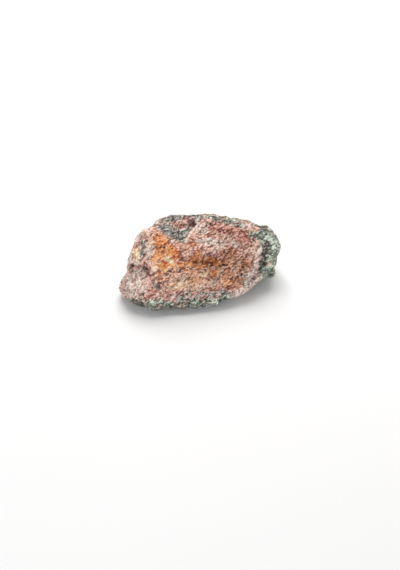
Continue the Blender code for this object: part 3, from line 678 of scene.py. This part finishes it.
def distance_to_line(points, line):
    """The shortest way from each point to a line through a few places."""
    best = np.full(len(points), SEARCH_REACH)
    for start, end in itertools.pairwise(np.array(line)):
        along = end - start
        share = np.clip((points - start) @ along / (along @ along), 0.0, 1.0)
        away = np.linalg.norm(points - start - share[:, None] * along, axis=1)
        best = np.minimum(best, away)
    return best


def line_relief(points):
    """Grooves and ridges with a bell-shaped section, along lines that wander a little."""
    wandered = points + LINE_WANDER * noise_vectors(points, LINE_WANDER_SIZE, LINE_WANDER_SEEDS)
    total = np.zeros(len(points))
    for height, half_width, line in RELIEF_LINES.values():
        total += height * np.exp(-((distance_to_line(wandered, line) / half_width) ** 2))
    return total


def layer_relief(points):
    """Broken layer edges: a slow rise and a quick drop across each layer, in patches."""
    wave = LAYER_WAVE * noise(points, LAYER_WAVE_SIZE, LAYER_WAVE_SEED)
    share = (points @ outward(*BEDDING) + wave) / LAYER_THICKNESS % 1.0
    saw = share - smooth_step(LAYER_DROP_FROM, 1.0, share)
    patches = smooth_step(*LAYER_PATCH, noise(points, LAYER_PATCH_SIZE, LAYER_PATCH_SEED))
    return LAYER_EDGE * saw * patches


def lumpy_relief(points):
    """Low lumps: two noises of different sizes, each times its height."""
    return sum(height * noise(points, size, seed) for height, size, seed in LUMPINESS)


def scattered_near(points, size, seed, count):
    """Places scattered one to a cell of a lattice. For each of the 27 cells round each point in
    turn, gives the way from the cell's place and its length, both as shares of the size, and the
    cell's random picks from 0 to 1, the first three of which are its place."""
    picks = np.random.default_rng(seed).random((NOISE_PERIOD,) * 3 + (count,))
    scaled = points / size
    cell = np.floor(scaled).astype(int)
    for step in itertools.product((-1, 0, 1), repeat=3):
        index = (cell + step) % NOISE_PERIOD
        pick = picks[index[:, 0], index[:, 1], index[:, 2]]
        away = scaled - (cell + step + pick[:, :3])
        yield away, np.linalg.norm(away, axis=1), pick


def flake_relief(points):
    """Flakes round scattered places, each stepped and tilted as it was picked, with a bevel
    between the nearest and the next."""
    total = np.zeros(len(points))
    for size, step, tilt, seed in FLAKES:
        near, next_near = np.full((2, len(points)), np.inf)
        top, next_top = np.zeros((2, len(points)))
        for away, distance, pick in scattered_near(points, size, seed, FLAKE_PICKS):
            slope = tilt * size * (2.0 * pick[:, 3:6] - 1.0)
            height = step * (2.0 * pick[:, 6] - 1.0) + np.einsum("ij,ij->i", slope, away)
            nearer, second = distance < near, distance < next_near
            next_top = np.where(nearer, top, np.where(second, height, next_top))
            next_near = np.where(nearer, near, np.where(second, distance, next_near))
            top = np.where(nearer, height, top)
            near = np.where(nearer, distance, near)
        own = 0.5 + 0.5 * smooth_step(0.0, FLAKE_BEVEL, next_near - near)
        total += own * top + (1.0 - own) * next_top
    return total


def stone_surface(directions):
    """Where a ray from the heart in each direction leaves the stone, found by halving. Gives the
    points with their relief, and the bare points bent to where the facets are flat."""
    rough_reach = 1.0 / np.linalg.norm(directions / SPREAD, axis=1)
    wobble = WOBBLE * noise_vectors(directions * rough_reach[:, None], WOBBLE_SIZE, WOBBLE_SEEDS)
    low = np.zeros(len(directions))
    high = np.full(len(directions), SEARCH_REACH)
    for _ in range(SEARCH_STEPS):
        middle = (low + high) / 2.0
        inside = outside_stone(HEART + directions * middle[:, None] + wobble) < 0.0
        low = np.where(inside, middle, low)
        high = np.where(inside, high, middle)
    reach = (low + high) / 2.0
    points = HEART + directions * reach[:, None]
    relieved = reach + line_relief(points) + layer_relief(points)
    relieved = relieved + lumpy_relief(points) + flake_relief(points)
    return HEART + directions * relieved[:, None], points + wobble


def ball_grid(counts):
    """Six grids of squares on a box, each side's two parameters going from -1 to 1 as a tangent
    does so that its squares are even on the ball, joined where the sides meet. Gives the unit
    directions and, for each square, its four corners in outward order."""
    corners, squares, start = [], [], 0
    for axis, side in itertools.product(range(3), (-1.0, 1.0)):
        across, up = (axis + 1) % 3, (axis + 2) % 3
        u, v = np.meshgrid(*(np.tan(np.linspace(-math.pi / 4, math.pi / 4, counts[k] + 1))
                             for k in (across, up)), indexing="ij")
        place = np.empty(u.shape + (3,))
        place[..., axis], place[..., across], place[..., up] = side, u, v
        number = start + np.arange(u.size).reshape(u.shape)
        ring = [number[:-1, :-1], number[1:, :-1], number[1:, 1:], number[:-1, 1:]]
        square = np.stack(ring if side > 0 else ring[::-1], axis=-1).reshape(-1, 4)
        corners.append(place.reshape(-1, 3))
        squares.append(square)
        start += u.size
    corners, squares = np.concatenate(corners), np.concatenate(squares)
    _, first, same = np.unique(np.round(corners * WELD).astype(np.int64), axis=0,
                               return_index=True, return_inverse=True)
    directions = corners[first] * SPREAD
    return directions / np.linalg.norm(directions, axis=1, keepdims=True), same.ravel()[squares]


def vertex_normals(points, squares):
    """The cross product of each square's diagonals, added up at its corners."""
    across = points[squares[:, 2]] - points[squares[:, 0]]
    up = points[squares[:, 3]] - points[squares[:, 1]]
    facing = np.repeat(np.cross(across, up), 4, axis=0)
    total = np.stack([np.bincount(squares.ravel(), facing[:, k]) for k in range(3)], axis=1)
    return total / np.linalg.norm(total, axis=1, keepdims=True)


def evened(values, squares, rounds):
    """Each value moved half way to the mean of its neighbours, a number of times over."""
    here, there = squares.ravel(), np.roll(squares, -1, axis=1).ravel()
    neighbours = np.bincount(here)
    for _ in range(rounds):
        total = np.stack([np.bincount(here, column[there]) for column in values.T], axis=1)
        values = 0.5 * values + 0.5 * total / neighbours[:, None]
    return values


def crystals(points, size, seed):
    """Each point belongs to the nearest of the scattered places. Gives the way from that place,
    the gap to the next crystal, and the crystal's picks."""
    near, next_near = np.full((2, len(points)), np.inf)
    away, found = np.zeros((len(points), 3)), np.zeros((len(points), CRYSTAL_PICKS))
    for way, distance, pick in scattered_near(points, size, seed, CRYSTAL_PICKS):
        nearer = distance < near
        next_near = np.where(nearer, near, np.minimum(next_near, distance))
        near = np.where(nearer, distance, near)
        away[nearer], found[nearer] = way[nearer], pick[nearer]
    return away * size, (next_near - near) * size, found


def drawn_out(points):
    """Places whose distances along the rock's grain are shortened, so that what is laid out in
    them comes out long that way."""
    along = outward(*DRAWN_ALONG)
    return points - DRAWN_SHARE * (points @ along)[:, None] * along


def crystal_relief(points):
    """Flat-topped crystals in three sizes, each stepped up or down and tilted, with a narrow gap
    round the middle-sized ones and a few of them fallen out as pits. Gives the height, a pick of
    the large and of the middle-sized crystal, the tone of the grain, and where the pits are."""
    bent = points + CRYSTAL_BEND * noise_vectors(points, CRYSTAL_BEND_SIZE, CRYSTAL_BEND_SEEDS)
    bent = drawn_out(bent)
    height = np.zeros(len(points))
    picked = []
    for number, (size, step, tilt, seed) in enumerate(CRYSTAL_SIZES):
        away, gap, picks = crystals(bent, size, seed)
        slope = tilt * (2.0 * picks[:, 3:6] - 1.0)
        rise = step * (2.0 * picks[:, 0] - 1.0)
        height += rise + np.einsum("ij,ij->i", slope, away)
        picked.append(picks)
        if number == MIDDLING:
            gap_depth, gap_width = CRYSTAL_GAP
            height -= gap_depth * np.exp(-((gap / gap_width) ** 2))
            pit = np.where(picks[:, 1] < PIT_SHARE, smooth_step(0.0, PIT_SIDE, gap), 0.0)
    height -= PIT_DEPTH * pit
    large, middling = picked[0], picked[MIDDLING]
    grain = crystals(bent, GRAIN_SIZE, GRAIN_SEED)[2]
    tone = sum(weight * picks[:, 0] for weight, picks in zip(GRAIN_TONE, (large, middling, grain)))
    return height, large[:, 2], middling[:, 2], tone, pit


def skin_shares(points, wobbled):
    """How much of each mineral skin a point has: the share of the facet or lump that it lies on,
    mixed near their edges, drifting slowly over the stone."""
    heights = np.stack([above_plane(wobbled, *facet[:3]) for facet in FACETS.values()], axis=1)
    block = heights.max(axis=1, keepdims=True)
    weights = smooth_step(-FACE_BLEND, 0.0, heights - block)
    lumps = {name: outside_lump(wobbled, *lump[:3]) for name, lump in LUMPS.items()}
    closest = np.minimum.reduce([block[:, 0], *lumps.values()])
    weights *= smooth_step(FACE_BLEND, 0.0, block[:, 0] - closest)[:, None]
    total = weights @ np.array([FACE_SKINS[name] for name in FACETS])
    summed = weights.sum(axis=1)
    for name, outside in lumps.items():
        weight = smooth_step(FACE_BLEND, 0.0, outside - closest)
        total += weight[:, None] * np.array(TOE_SKINS if name == "toe" else TAIL_SKINS)
        summed += weight
    shares = total / summed[:, None]
    chip = smooth_step(*CHIP_BLEND, outside_unchipped(wobbled))[:, None]
    shares = shares * (1.0 - chip) + chip * np.array(CHIP_SKINS)
    drift = np.stack([noise(points, SKIN_DRIFT_SIZE, seed) for seed in SKIN_DRIFT_SEEDS], axis=1)
    return dict(zip(SKINS, (shares * (1.0 + SKIN_DRIFT * drift)).T))


def mark_shares(points, shares):
    """Adds the marks to the shares: each fades from its line's half width outwards, along an
    outline that wanders."""
    for height, size, seeds in MARK_WANDER:
        points = points + height * noise_vectors(points, size, seeds)
    shares.update({name: np.zeros(len(points)) for name in ADDED})
    for name, marks in MARKS.items():
        for amount, half_width, line in marks:
            cover = smooth_step(*MARK_EDGE, distance_to_line(points, line) / half_width)
            if name == "tone":
                shares[name] = shares[name] + amount * cover
            elif amount < 0.0:
                shares[name] = shares[name] * (1.0 + amount * cover)
            else:
                shares[name] = np.maximum(shares[name], amount * cover)
    return shares


def bring_to_size(points, size, sole_relief):
    """Stretch to a length, depth and height in the place of the solid's box, then lay the
    underside on Z 0 with low hollows in it."""
    low, high = points.min(axis=0), points.max(axis=0)
    stretch = np.array(size) / (high - low)
    stretch[2] = size[2] / high[2]
    shift = (np.array(STONE_LOW) + np.array(STONE_HIGH) - (low + high) * stretch) / 2.0
    shift[2] = 0.0
    placed = points * stretch + shift
    hollows = np.maximum(noise(points * (1.0, 1.0, 0.0), SOLE_RELIEF_SIZE, SOLE_RELIEF_SEED), 0.0)
    placed[:, 2] = np.maximum(placed[:, 2], sole_relief * hollows)
    return placed


def stone_skin(sizes):
    """The stone's points, its squares, and the shares and picks that its colours follow."""
    directions, squares = ball_grid(GRID)
    points, wobbled = stone_surface(directions)
    normals = vertex_normals(points, squares)
    shares = mark_shares(points, skin_shares(points, wobbled))
    height, pick_a, pick_b, grain, pit = crystal_relief(points)
    points = points + normals * (sizes.crystal_relief * height)[:, None]
    # where the skin lies below its evened self it gets painted shade, where above pale dust and
    # painted highlight
    even = evened(points, squares, HOLLOW_ROUNDS)
    depth = np.einsum("ij,ij->i", even - points, normals)
    shares.update(pick_a=pick_a, pick_b=pick_b, grain=grain, pit=pit,
                  hollow=np.clip(depth / HOLLOW_FULL, 0.0, 1.0),
                  edge=np.clip(-depth / EDGE_FULL, 0.0, 1.0))
    size = (sizes.stone_length, sizes.stone_depth, sizes.stone_height)
    return bring_to_size(points, size, sizes.sole_relief), squares, shares


def make_mesh(name, points, squares, values):
    """A flat-faced mesh with each value as an attribute of its points."""
    mesh = bpy.data.meshes.new(name)
    mesh.vertices.add(len(points))
    mesh.vertices.foreach_set("co", points.astype(np.float32).ravel())
    mesh.loops.add(squares.size)
    mesh.loops.foreach_set("vertex_index", squares.astype(np.int32).ravel())
    mesh.polygons.add(len(squares))
    starts = np.arange(0, squares.size, squares.shape[1], dtype=np.int32)
    mesh.polygons.foreach_set("loop_start", starts)
    mesh.update(calc_edges=True)
    mesh.validate()
    mesh.shade_flat()
    for key, value in values.items():
        attribute = mesh.attributes.new(key, "FLOAT", "POINT")
        attribute.data.foreach_set("value", value.astype(np.float32))
    return mesh


def linear(red, green, blue):
    """A colour given as 0 to 255 on screen, as the linear colour that a shader takes."""
    share = np.array((red, green, blue)) / 255.0
    bright = ((share + 0.055) / 1.055) ** 2.4
    return tuple(float(x) for x in np.where(share <= 0.04045, share / 12.92, bright))


def wire(tree, socket, value):
    """Links a socket to another, or sets its own value, with 1 for alpha where it takes one."""
    if isinstance(value, bpy.types.NodeSocket):
        tree.links.new(value, socket)
    elif hasattr(socket.default_value, "__len__") and len(socket.default_value) == len(value) + 1:
        socket.default_value = (*value, 1.0)
    else:
        socket.default_value = value


def add_node(tree, kind, inputs=None, **settings):
    node = tree.nodes.new(kind)
    for name, value in settings.items():
        setattr(node, name, value)
    for name, value in (inputs or {}).items():
        wire(tree, node.inputs[name], value)
    return node


def calc(tree, operation, *values, clamp=False):
    node = add_node(tree, "ShaderNodeMath", dict(enumerate(values)), operation=operation)
    node.use_clamp = clamp
    return node.outputs[0]


def vector_calc(tree, operation, *values):
    node = add_node(tree, "ShaderNodeVectorMath", dict(enumerate(values)), operation=operation)
    return node.outputs["Value" if operation == "DOT_PRODUCT" else "Vector"]


def mix_colours(tree, share, under, over, blend="MIX"):
    """One colour over another. A colour mix's own sockets are inputs 6 and 7 and output 2."""
    node = tree.nodes.new("ShaderNodeMix")
    node.data_type = "RGBA"
    node.blend_type = blend
    for index, value in ((0, share), (6, under), (7, over)):
        wire(tree, node.inputs[index], value)
    return node.outputs[2]


def weighted(tree, base, *parts):
    """A number, plus each value times its weight."""
    total = base
    for value, weight in parts:
        total = calc(tree, "MULTIPLY_ADD", value, weight, total)
    return total


def noise_node(tree, place, settings, output="Fac"):
    """A noise texture over a place, set as given."""
    return add_node(tree, "ShaderNodeTexNoise", {"Vector": place, **settings}).outputs[output]


def spread_out(tree, value, gain, lift=0.0):
    """Stretches a value away from one half, then lifts it, kept between 0 and 1."""
    centred = calc(tree, "SUBTRACT", value, 0.5)
    return calc(tree, "MULTIPLY_ADD", centred, gain, calc(tree, "ADD", lift, 0.5), clamp=True)


def attribute(tree, name):
    return add_node(tree, "ShaderNodeAttribute", attribute_name=name).outputs["Fac"]


def new_group(name, inputs, outputs):
    """A shader node group with named sockets. Gives the group, its inside inputs and outputs."""
    group = bpy.data.node_groups.new(name, "ShaderNodeTree")
    for kind, in_out in ((inputs, "INPUT"), (outputs, "OUTPUT")):
        for socket_name, socket_type in kind:
            group.interface.new_socket(socket_name, in_out=in_out, socket_type=socket_type)
    taken = group.nodes.new("NodeGroupInput").outputs
    given = group.nodes.new("NodeGroupOutput").inputs
    return group, taken, given


def use_group(tree, group, **inputs):
    node = tree.nodes.new("ShaderNodeGroup")
    node.node_tree = group
    for name, value in inputs.items():
        wire(tree, node.inputs[name.replace("_", " ")], value)
    return node.outputs


NUMBER, COLOUR, VECTOR = "NodeSocketFloat", "NodeSocketColor", "NodeSocketVector"


def fine_grain_group():
    """Grains of one size: each has three picks of its own and a flat tilted top."""
    group, taken, given = new_group(
        "fine_grain",
        (("Place", VECTOR), ("Size", NUMBER)),
        (("Pick A", NUMBER), ("Pick B", NUMBER), ("Pick C", NUMBER), ("Height", NUMBER)),
    )
    scale = calc(group, "DIVIDE", 1.0, taken["Size"])
    cells = add_node(group, "ShaderNodeTexVoronoi", {"Vector": taken["Place"], "Scale": scale})
    picks = add_node(group, "ShaderNodeSeparateColor", {"Color": cells.outputs["Color"]})
    for channel, name in (("Red", "Pick A"), ("Green", "Pick B"), ("Blue", "Pick C")):
        group.links.new(picks.outputs[channel], given[name])
    slope = vector_calc(group, "SUBTRACT", cells.outputs["Color"], MIDDLE_GREY)
    away = vector_calc(group, "SUBTRACT", taken["Place"], cells.outputs["Position"])
    tilt = vector_calc(group, "DOT_PRODUCT", slope, away)
    group.links.new(tilt, given["Height"])
    return group


def grain_choice_group():
    """How fully a skin covers a place: its share less the place's pick, with a soft edge."""
    group, taken, given = new_group(
        "grain_choice", (("Share", NUMBER), ("Pick", NUMBER)), (("Cover", NUMBER),)
    )
    share = calc(group, "MULTIPLY_ADD", taken["Share"], *SHARE_STRETCH)
    over = calc(group, "SUBTRACT", share, taken["Pick"])
    cover = calc(group, "MULTIPLY_ADD", over, SHARE_GAIN, 0.5, clamp=True)
    group.links.new(cover, given["Cover"])
    return group


def grain_palette_group():
    """A colour between three: dark grains, common grains and bright grains. The tone marks also
    move it, partly as painted shade and painted highlight.
    """
    group, taken, given = new_group(
        "grain_palette",
        (("Tone", NUMBER), ("Dark", COLOUR), ("Common", COLOUR), ("Bright", COLOUR)),
        (("Colour", COLOUR),),
    )
    lower = calc(group, "MULTIPLY", taken["Tone"], 2.0, clamp=True)
    upper = calc(group, "MULTIPLY_ADD", taken["Tone"], 2.0, -1.0, clamp=True)
    dim = mix_colours(group, lower, taken["Dark"], taken["Common"])
    group.links.new(mix_colours(group, upper, dim, taken["Bright"]), given["Colour"])
    return group


def stone_material(colours, sizes):
    """Salmon pink, and over it each other mineral skin where its share beats a slow pick. All of
    them go from dark through common to bright grains with one tone, made of the crystals, a mottle
    and two sizes of fine grain, and moved by the tone marks. Then come creases tinted dark red with
    painted shade, the tone marks' painted shade and highlight, partly the stone's own darker and
    lighter places, painted shade in hollows and pits, pale dust and painted highlight on edges,
    glints that are white grains with a painted highlight, and dark flecks."""
    material = bpy.data.materials.new("mixed_grain_stone")
    material.use_nodes = True
    tree = material.node_tree
    shader = tree.nodes["Principled BSDF"]
    grain_of, choose, palette = fine_grain_group(), grain_choice_group(), grain_palette_group()

    coordinates = add_node(tree, "ShaderNodeTexCoord").outputs["Object"]
    place = vector_calc(tree, "MULTIPLY", coordinates, (MM_PER_METRE,) * 3)
    along = outward(*DRAWN_ALONG)
    distance = vector_calc(tree, "DOT_PRODUCT", place, tuple(along))
    place = vector_calc(tree, "MULTIPLY_ADD", tuple(-DRAWN_SHARE * along), distance, place)
    bend = vector_calc(tree, "SUBTRACT", noise_node(tree, place, BEND_NOISE, "Color"), MIDDLE_GREY)
    bent = vector_calc(tree, "MULTIPLY_ADD", bend, (FINE_BEND,) * 3, place)
    middling = use_group(tree, grain_of, Place=bent, Size=MM_PER_METRE * sizes.grain)
    small = use_group(tree, grain_of, Place=bent, Size=MM_PER_METRE * sizes.fine_grain)
    two_grains = (middling, small)

    busy = spread_out(tree, noise_node(tree, place, BUSY_NOISE), BUSY_GAIN)
    fine = ((grain["Pick A"], weight) for grain, weight in zip(two_grains, FINE_WEIGHTS))
    quiet_contrast, busy_contrast = FINE_CONTRAST
    contrast = weighted(tree, quiet_contrast, (busy, busy_contrast))
    fine = calc(tree, "MULTIPLY", weighted(tree, -0.5, *fine), contrast)
    parts = (attribute(tree, "grain"), noise_node(tree, place, MOTTLE_NOISE))
    tone = weighted(tree, TONE_BASE, *zip(parts, TONE_WEIGHTS))
    # the tone marks: painted shade and painted highlight, partly the stone's own darker and lighter
    # places
    shade = attribute(tree, "tone")
    lift = calc(tree, "MAXIMUM", shade, calc(tree, "MULTIPLY", shade, SHADE_LOWERS))
    tone = spread_out(tree, calc(tree, "ADD", tone, fine), TONE_GAIN, lift)

    picks = {}
    for name, (own, slow) in PICKS.items():
        parts = ((attribute(tree, name), own), (noise_node(tree, place, slow), 1.0 - own))
        picks[name] = spread_out(tree, weighted(tree, 0.0, *parts), PICK_GAIN)

    def cover_of(skin, pick):
        return use_group(tree, choose, Share=attribute(tree, skin), Pick=picks[pick])["Cover"]

    def colours_of(skin):
        shades = {name.title(): getattr(colours, f"{skin}_{name}") for name in TONES}
        return use_group(tree, palette, Tone=tone, **shades)["Colour"]

    colour = colours_of("salmon")
    for skin, pick in SKIN_PICKS.items():
        colour = mix_colours(tree, cover_of(skin, pick), colour, colours_of(skin))
    # creases: a dark red tint with painted shade, multiplied in
    creases = cover_of("maroon", "pick_b")
    colour = mix_colours(tree, creases, colour, colours.maroon, "MULTIPLY")
    # dims where the tone marks are below zero: painted shade, partly the stone's own darker places
    dimmed = calc(tree, "MULTIPLY_ADD", shade, SHADE_DIMS, 1.0, clamp=True)
    colour = mix_colours(tree, 1.0, colour, dimmed, "MULTIPLY")

    # painted shade in hollows and pits
    hollow = weighted(tree, attribute(tree, "hollow"), (attribute(tree, "pit"), PIT_SHADE))
    hollow = calc(tree, "MULTIPLY", hollow, colours.hollow_shade_strength, clamp=True)
    colour = mix_colours(tree, hollow, colour, colours.hollow, "MULTIPLY")
    # pale dust and painted highlight on convex edges
    edge = calc(tree, "MULTIPLY", attribute(tree, "edge"), colours.edge_dust_and_highlight_strength)
    colour = mix_colours(tree, edge, colour, colours.edge_dust_and_highlight, "SCREEN")

    def limit_of(mark, base, by_mark, by_busy):
        return weighted(tree, base, (attribute(tree, mark), by_mark), (busy, by_busy))

    # glints: white grains with a painted highlight, screened over the colour
    glint = calc(tree, "GREATER_THAN", middling["Pick C"], limit_of("glint", *GLINT_PICK))
    small_glint = calc(tree, "GREATER_THAN", small["Pick C"], GLINT_SMALL_PICK)
    glint = calc(tree, "MULTIPLY", glint, small_glint)
    colour = mix_colours(tree, glint, colour, colours.glint, "SCREEN")
    fleck = calc(tree, "LESS_THAN", middling["Pick C"], limit_of("fleck", *FLECK_PICK))
    colour = mix_colours(tree, fleck, colour, colours.fleck, "MULTIPLY")

    roughness = weighted(tree, ROUGHNESS[0], *zip((middling["Pick B"], glint), ROUGHNESS[1:]))
    heights = (middling["Height"], small["Height"], noise_node(tree, place, SPECKLE_NOISE))
    relief = weighted(tree, 0.0, *zip(heights, BUMP_WEIGHTS))
    bump = add_node(tree, "ShaderNodeBump", {"Height": relief, "Strength": 1.0,
                                             "Distance": BUMP_HEIGHT})
    wire(tree, shader.inputs["Base Color"], colour)
    wire(tree, shader.inputs["Roughness"], roughness)
    wire(tree, shader.inputs["Normal"], bump.outputs["Normal"])
    shader.inputs["IOR"].default_value = STONE_IOR
    shader.inputs["Metallic"].default_value = 0.0
    return material


def colour_property(title, use, shade):
    return FloatVectorProperty(name=title, description=use, default=linear(*shade), size=3,
                               subtype="COLOR", min=0.0, max=1.0)


def length_property(title, use, value):
    return FloatProperty(name=title, description=use, default=value, min=0.0, unit="LENGTH",
                         subtype="DISTANCE")


def share_property(title, use, value):
    return FloatProperty(name=title, description=use, default=value, min=0.0, max=1.0,
                         subtype="FACTOR")


def skin_colours():
    """A colour for the dark, the common and the bright grains of each mineral skin."""
    return {
        f"{skin}_{tone}": colour_property(f"{skin.title()}, {tone}",
                                          f"{tone.title()} grains of the {place}", shade)
        for skin, (place, *shades) in PALETTES.items()
        for tone, shade in zip(TONES, shades)
    }


class RockSizes(PropertyGroup):
    stone_length: length_property("Length", "Stone along X", STONE_HIGH[0] - STONE_LOW[0])
    stone_depth: length_property("Depth", "Stone along Y", STONE_HIGH[1] - STONE_LOW[1])
    stone_height: length_property("Height", "Stone above its resting face", STONE_HIGH[2])
    sole_relief: length_property("Sole hollows", "Depth of the resting face's hollows", 0.0005)
    grain: length_property("Grain", "Middling mineral grains", 0.00056)
    fine_grain: length_property("Fine grain", "Smallest mineral grains", 0.00028)
    crystal_relief: FloatProperty(name="Crystal relief", default=1.0, min=0.0, soft_max=3.0,
                                  description="How far the crystals stand out")


class RockColours(PropertyGroup):
    # dark red tint with painted shade, for the creases
    maroon: colour_property("Maroon creases", "What creases multiply by", (146, 92, 88))
    # painted shade that hollows multiply by
    hollow: colour_property("Hollows", "What a full hollow multiplies by", (118, 108, 104))
    # pale dust and painted highlight on edges
    edge_dust_and_highlight: colour_property("Worn edges", "Pale dust that edges add", (124, 118, 112))
    # white grains with painted highlight
    glint: colour_property("Cleavage faces", "White that single grains add", (184, 180, 174))
    fleck: colour_property("Dark flecks", "What single grains multiply by", (132, 124, 124))
    # strength of the painted shade in hollows
    hollow_shade_strength: share_property("Hollow strength", "How strongly hollows darken", 0.75)
    # strength of the pale dust and painted highlight on edges
    edge_dust_and_highlight_strength: share_property("Edge strength", "How strongly edges are dusted", 0.60)


RockColours.__annotations__.update(skin_colours())


class RockStage(PropertyGroup):
    floor_size: length_property("Floor size", "Side of the square floor", 6.0)
    floor_colour: colour_property("Floor", "Plain pale floor", (232, 232, 233))
    light_distance: length_property("Light distance", "From the stone to each light", 0.9)


class ROUGHROCK_OT_stone(Operator):
    """Make the stone in place of its solid"""

    bl_idname = "rough_rock.stone"
    bl_label = "Stone"

    def execute(self, context):
        sizes = context.scene.rock_sizes
        points, squares, shares = stone_skin(sizes)
        mesh = make_mesh("stone_skin", points, squares, shares)
        mesh.materials.append(stone_material(context.scene.rock_colours, sizes))
        stone = bpy.data.objects.new("stone_skin", mesh)
        context.scene.collection.objects.link(stone)
        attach(stone, "root")
        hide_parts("stone")
        return {"FINISHED"}


def add_light(context, name, power, size, place, colour):
    """A square light at a place, turned to the stone."""
    light = bpy.data.lights.new(name, "AREA")
    light.shape, light.size, light.energy, light.color = "SQUARE", size, power, colour
    lamp = bpy.data.objects.new(name, light)
    lamp.location = place
    lamp.rotation_euler = (-Vector(place)).to_track_quat("-Z", "Y").to_euler()
    context.scene.collection.objects.link(lamp)


class ROUGHROCK_OT_stage(Operator):
    """Make the floor, the lights and the camera"""

    bl_idname = "rough_rock.stage"
    bl_label = "Stage"

    def execute(self, context):
        stage = context.scene.rock_stage
        corners = np.array([(-1, -1, 0), (1, -1, 0), (1, 1, 0), (-1, 1, 0)])
        corners = corners * stage.floor_size / 2.0
        mesh = make_mesh("floor", corners, np.array([[0, 1, 2, 3]]), {})
        mesh.materials.append(floor_material(stage.floor_colour))
        floor = bpy.data.objects.new("floor", mesh)
        context.scene.collection.objects.link(floor)
        for name, (bearing, rise, power, size, tint) in LIGHTS.items():
            place = Vector(outward(bearing, rise)) * stage.light_distance
            add_light(context, name, power, size, place, tint)
        make_world(context)
        make_camera(context)
        context.scene.view_settings.view_transform = "Standard"
        return {"FINISHED"}


def floor_material(shade):
    """Plain pale board with the faintest unevenness."""
    material = bpy.data.materials.new("pale_board")
    material.use_nodes = True
    tree = material.node_tree
    shader = tree.nodes["Principled BSDF"]
    coordinates = add_node(tree, "ShaderNodeTexCoord").outputs["Object"]
    cloud = noise_node(tree, coordinates, BOARD_NOISE)
    board = mix_colours(tree, cloud, tuple(shade), tuple(BOARD_CLOUD * x for x in shade))
    wire(tree, shader.inputs["Base Color"], board)
    shader.inputs["Roughness"].default_value = BOARD_ROUGHNESS
    return material


def make_world(context):
    """Even white light from all round; seen directly it is the white of the backdrop."""
    world = bpy.data.worlds.new("white_room")
    world.use_nodes = True
    tree = world.node_tree
    background = tree.nodes["Background"]
    seen = add_node(tree, "ShaderNodeLightPath").outputs["Is Camera Ray"]
    wire(tree, background.inputs["Color"], WORLD_COLOUR)
    strength = calc(tree, "MULTIPLY_ADD", seen, BACKDROP_STRENGTH - WORLD_STRENGTH, WORLD_STRENGTH)
    wire(tree, background.inputs["Strength"], strength)
    context.scene.world = world


def make_camera(context):
    """A camera that looks down at the stone from its front."""
    camera = bpy.data.cameras.new("camera")
    camera.lens, camera.sensor_width = CAMERA_LENS, CAMERA_SENSOR
    camera.clip_start, camera.clip_end = CAMERA_SIGHT
    viewer = bpy.data.objects.new("camera", camera)
    viewer.location = CAMERA_PLACE
    viewer.rotation_euler = (math.radians(CAMERA_TILT), 0.0, 0.0)
    context.scene.collection.objects.link(viewer)
    context.scene.camera = viewer


class ROUGHROCK_PT_panel(Panel):
    bl_label = "Rough Rock"
    bl_space_type = "VIEW_3D"
    bl_region_type = "UI"
    bl_category = "Rock"

    def draw(self, context):
        for operator in OPERATORS:
            self.layout.operator(operator.bl_idname)
        scene = context.scene
        for group in (scene.rock_sizes, scene.rock_colours, scene.rock_stage):
            for name in group.__annotations__:
                self.layout.prop(group, name)


OPERATORS = (ROUGHROCK_OT_stone, ROUGHROCK_OT_stage)
CLASSES = (RockSizes, RockColours, RockStage, *OPERATORS, ROUGHROCK_PT_panel)


def register():
    for item in CLASSES:
        bpy.utils.register_class(item)
    bpy.types.Scene.rock_sizes = PointerProperty(type=RockSizes)
    bpy.types.Scene.rock_colours = PointerProperty(type=RockColours)
    bpy.types.Scene.rock_stage = PointerProperty(type=RockStage)


def unregister():
    del bpy.types.Scene.rock_stage
    del bpy.types.Scene.rock_colours
    del bpy.types.Scene.rock_sizes
    for item in reversed(CLASSES):
        bpy.utils.unregister_class(item)


def main():
    register()
    bpy.ops.rough_rock.stone()
    bpy.ops.rough_rock.stage()


if __name__ == "__main__":
    main()
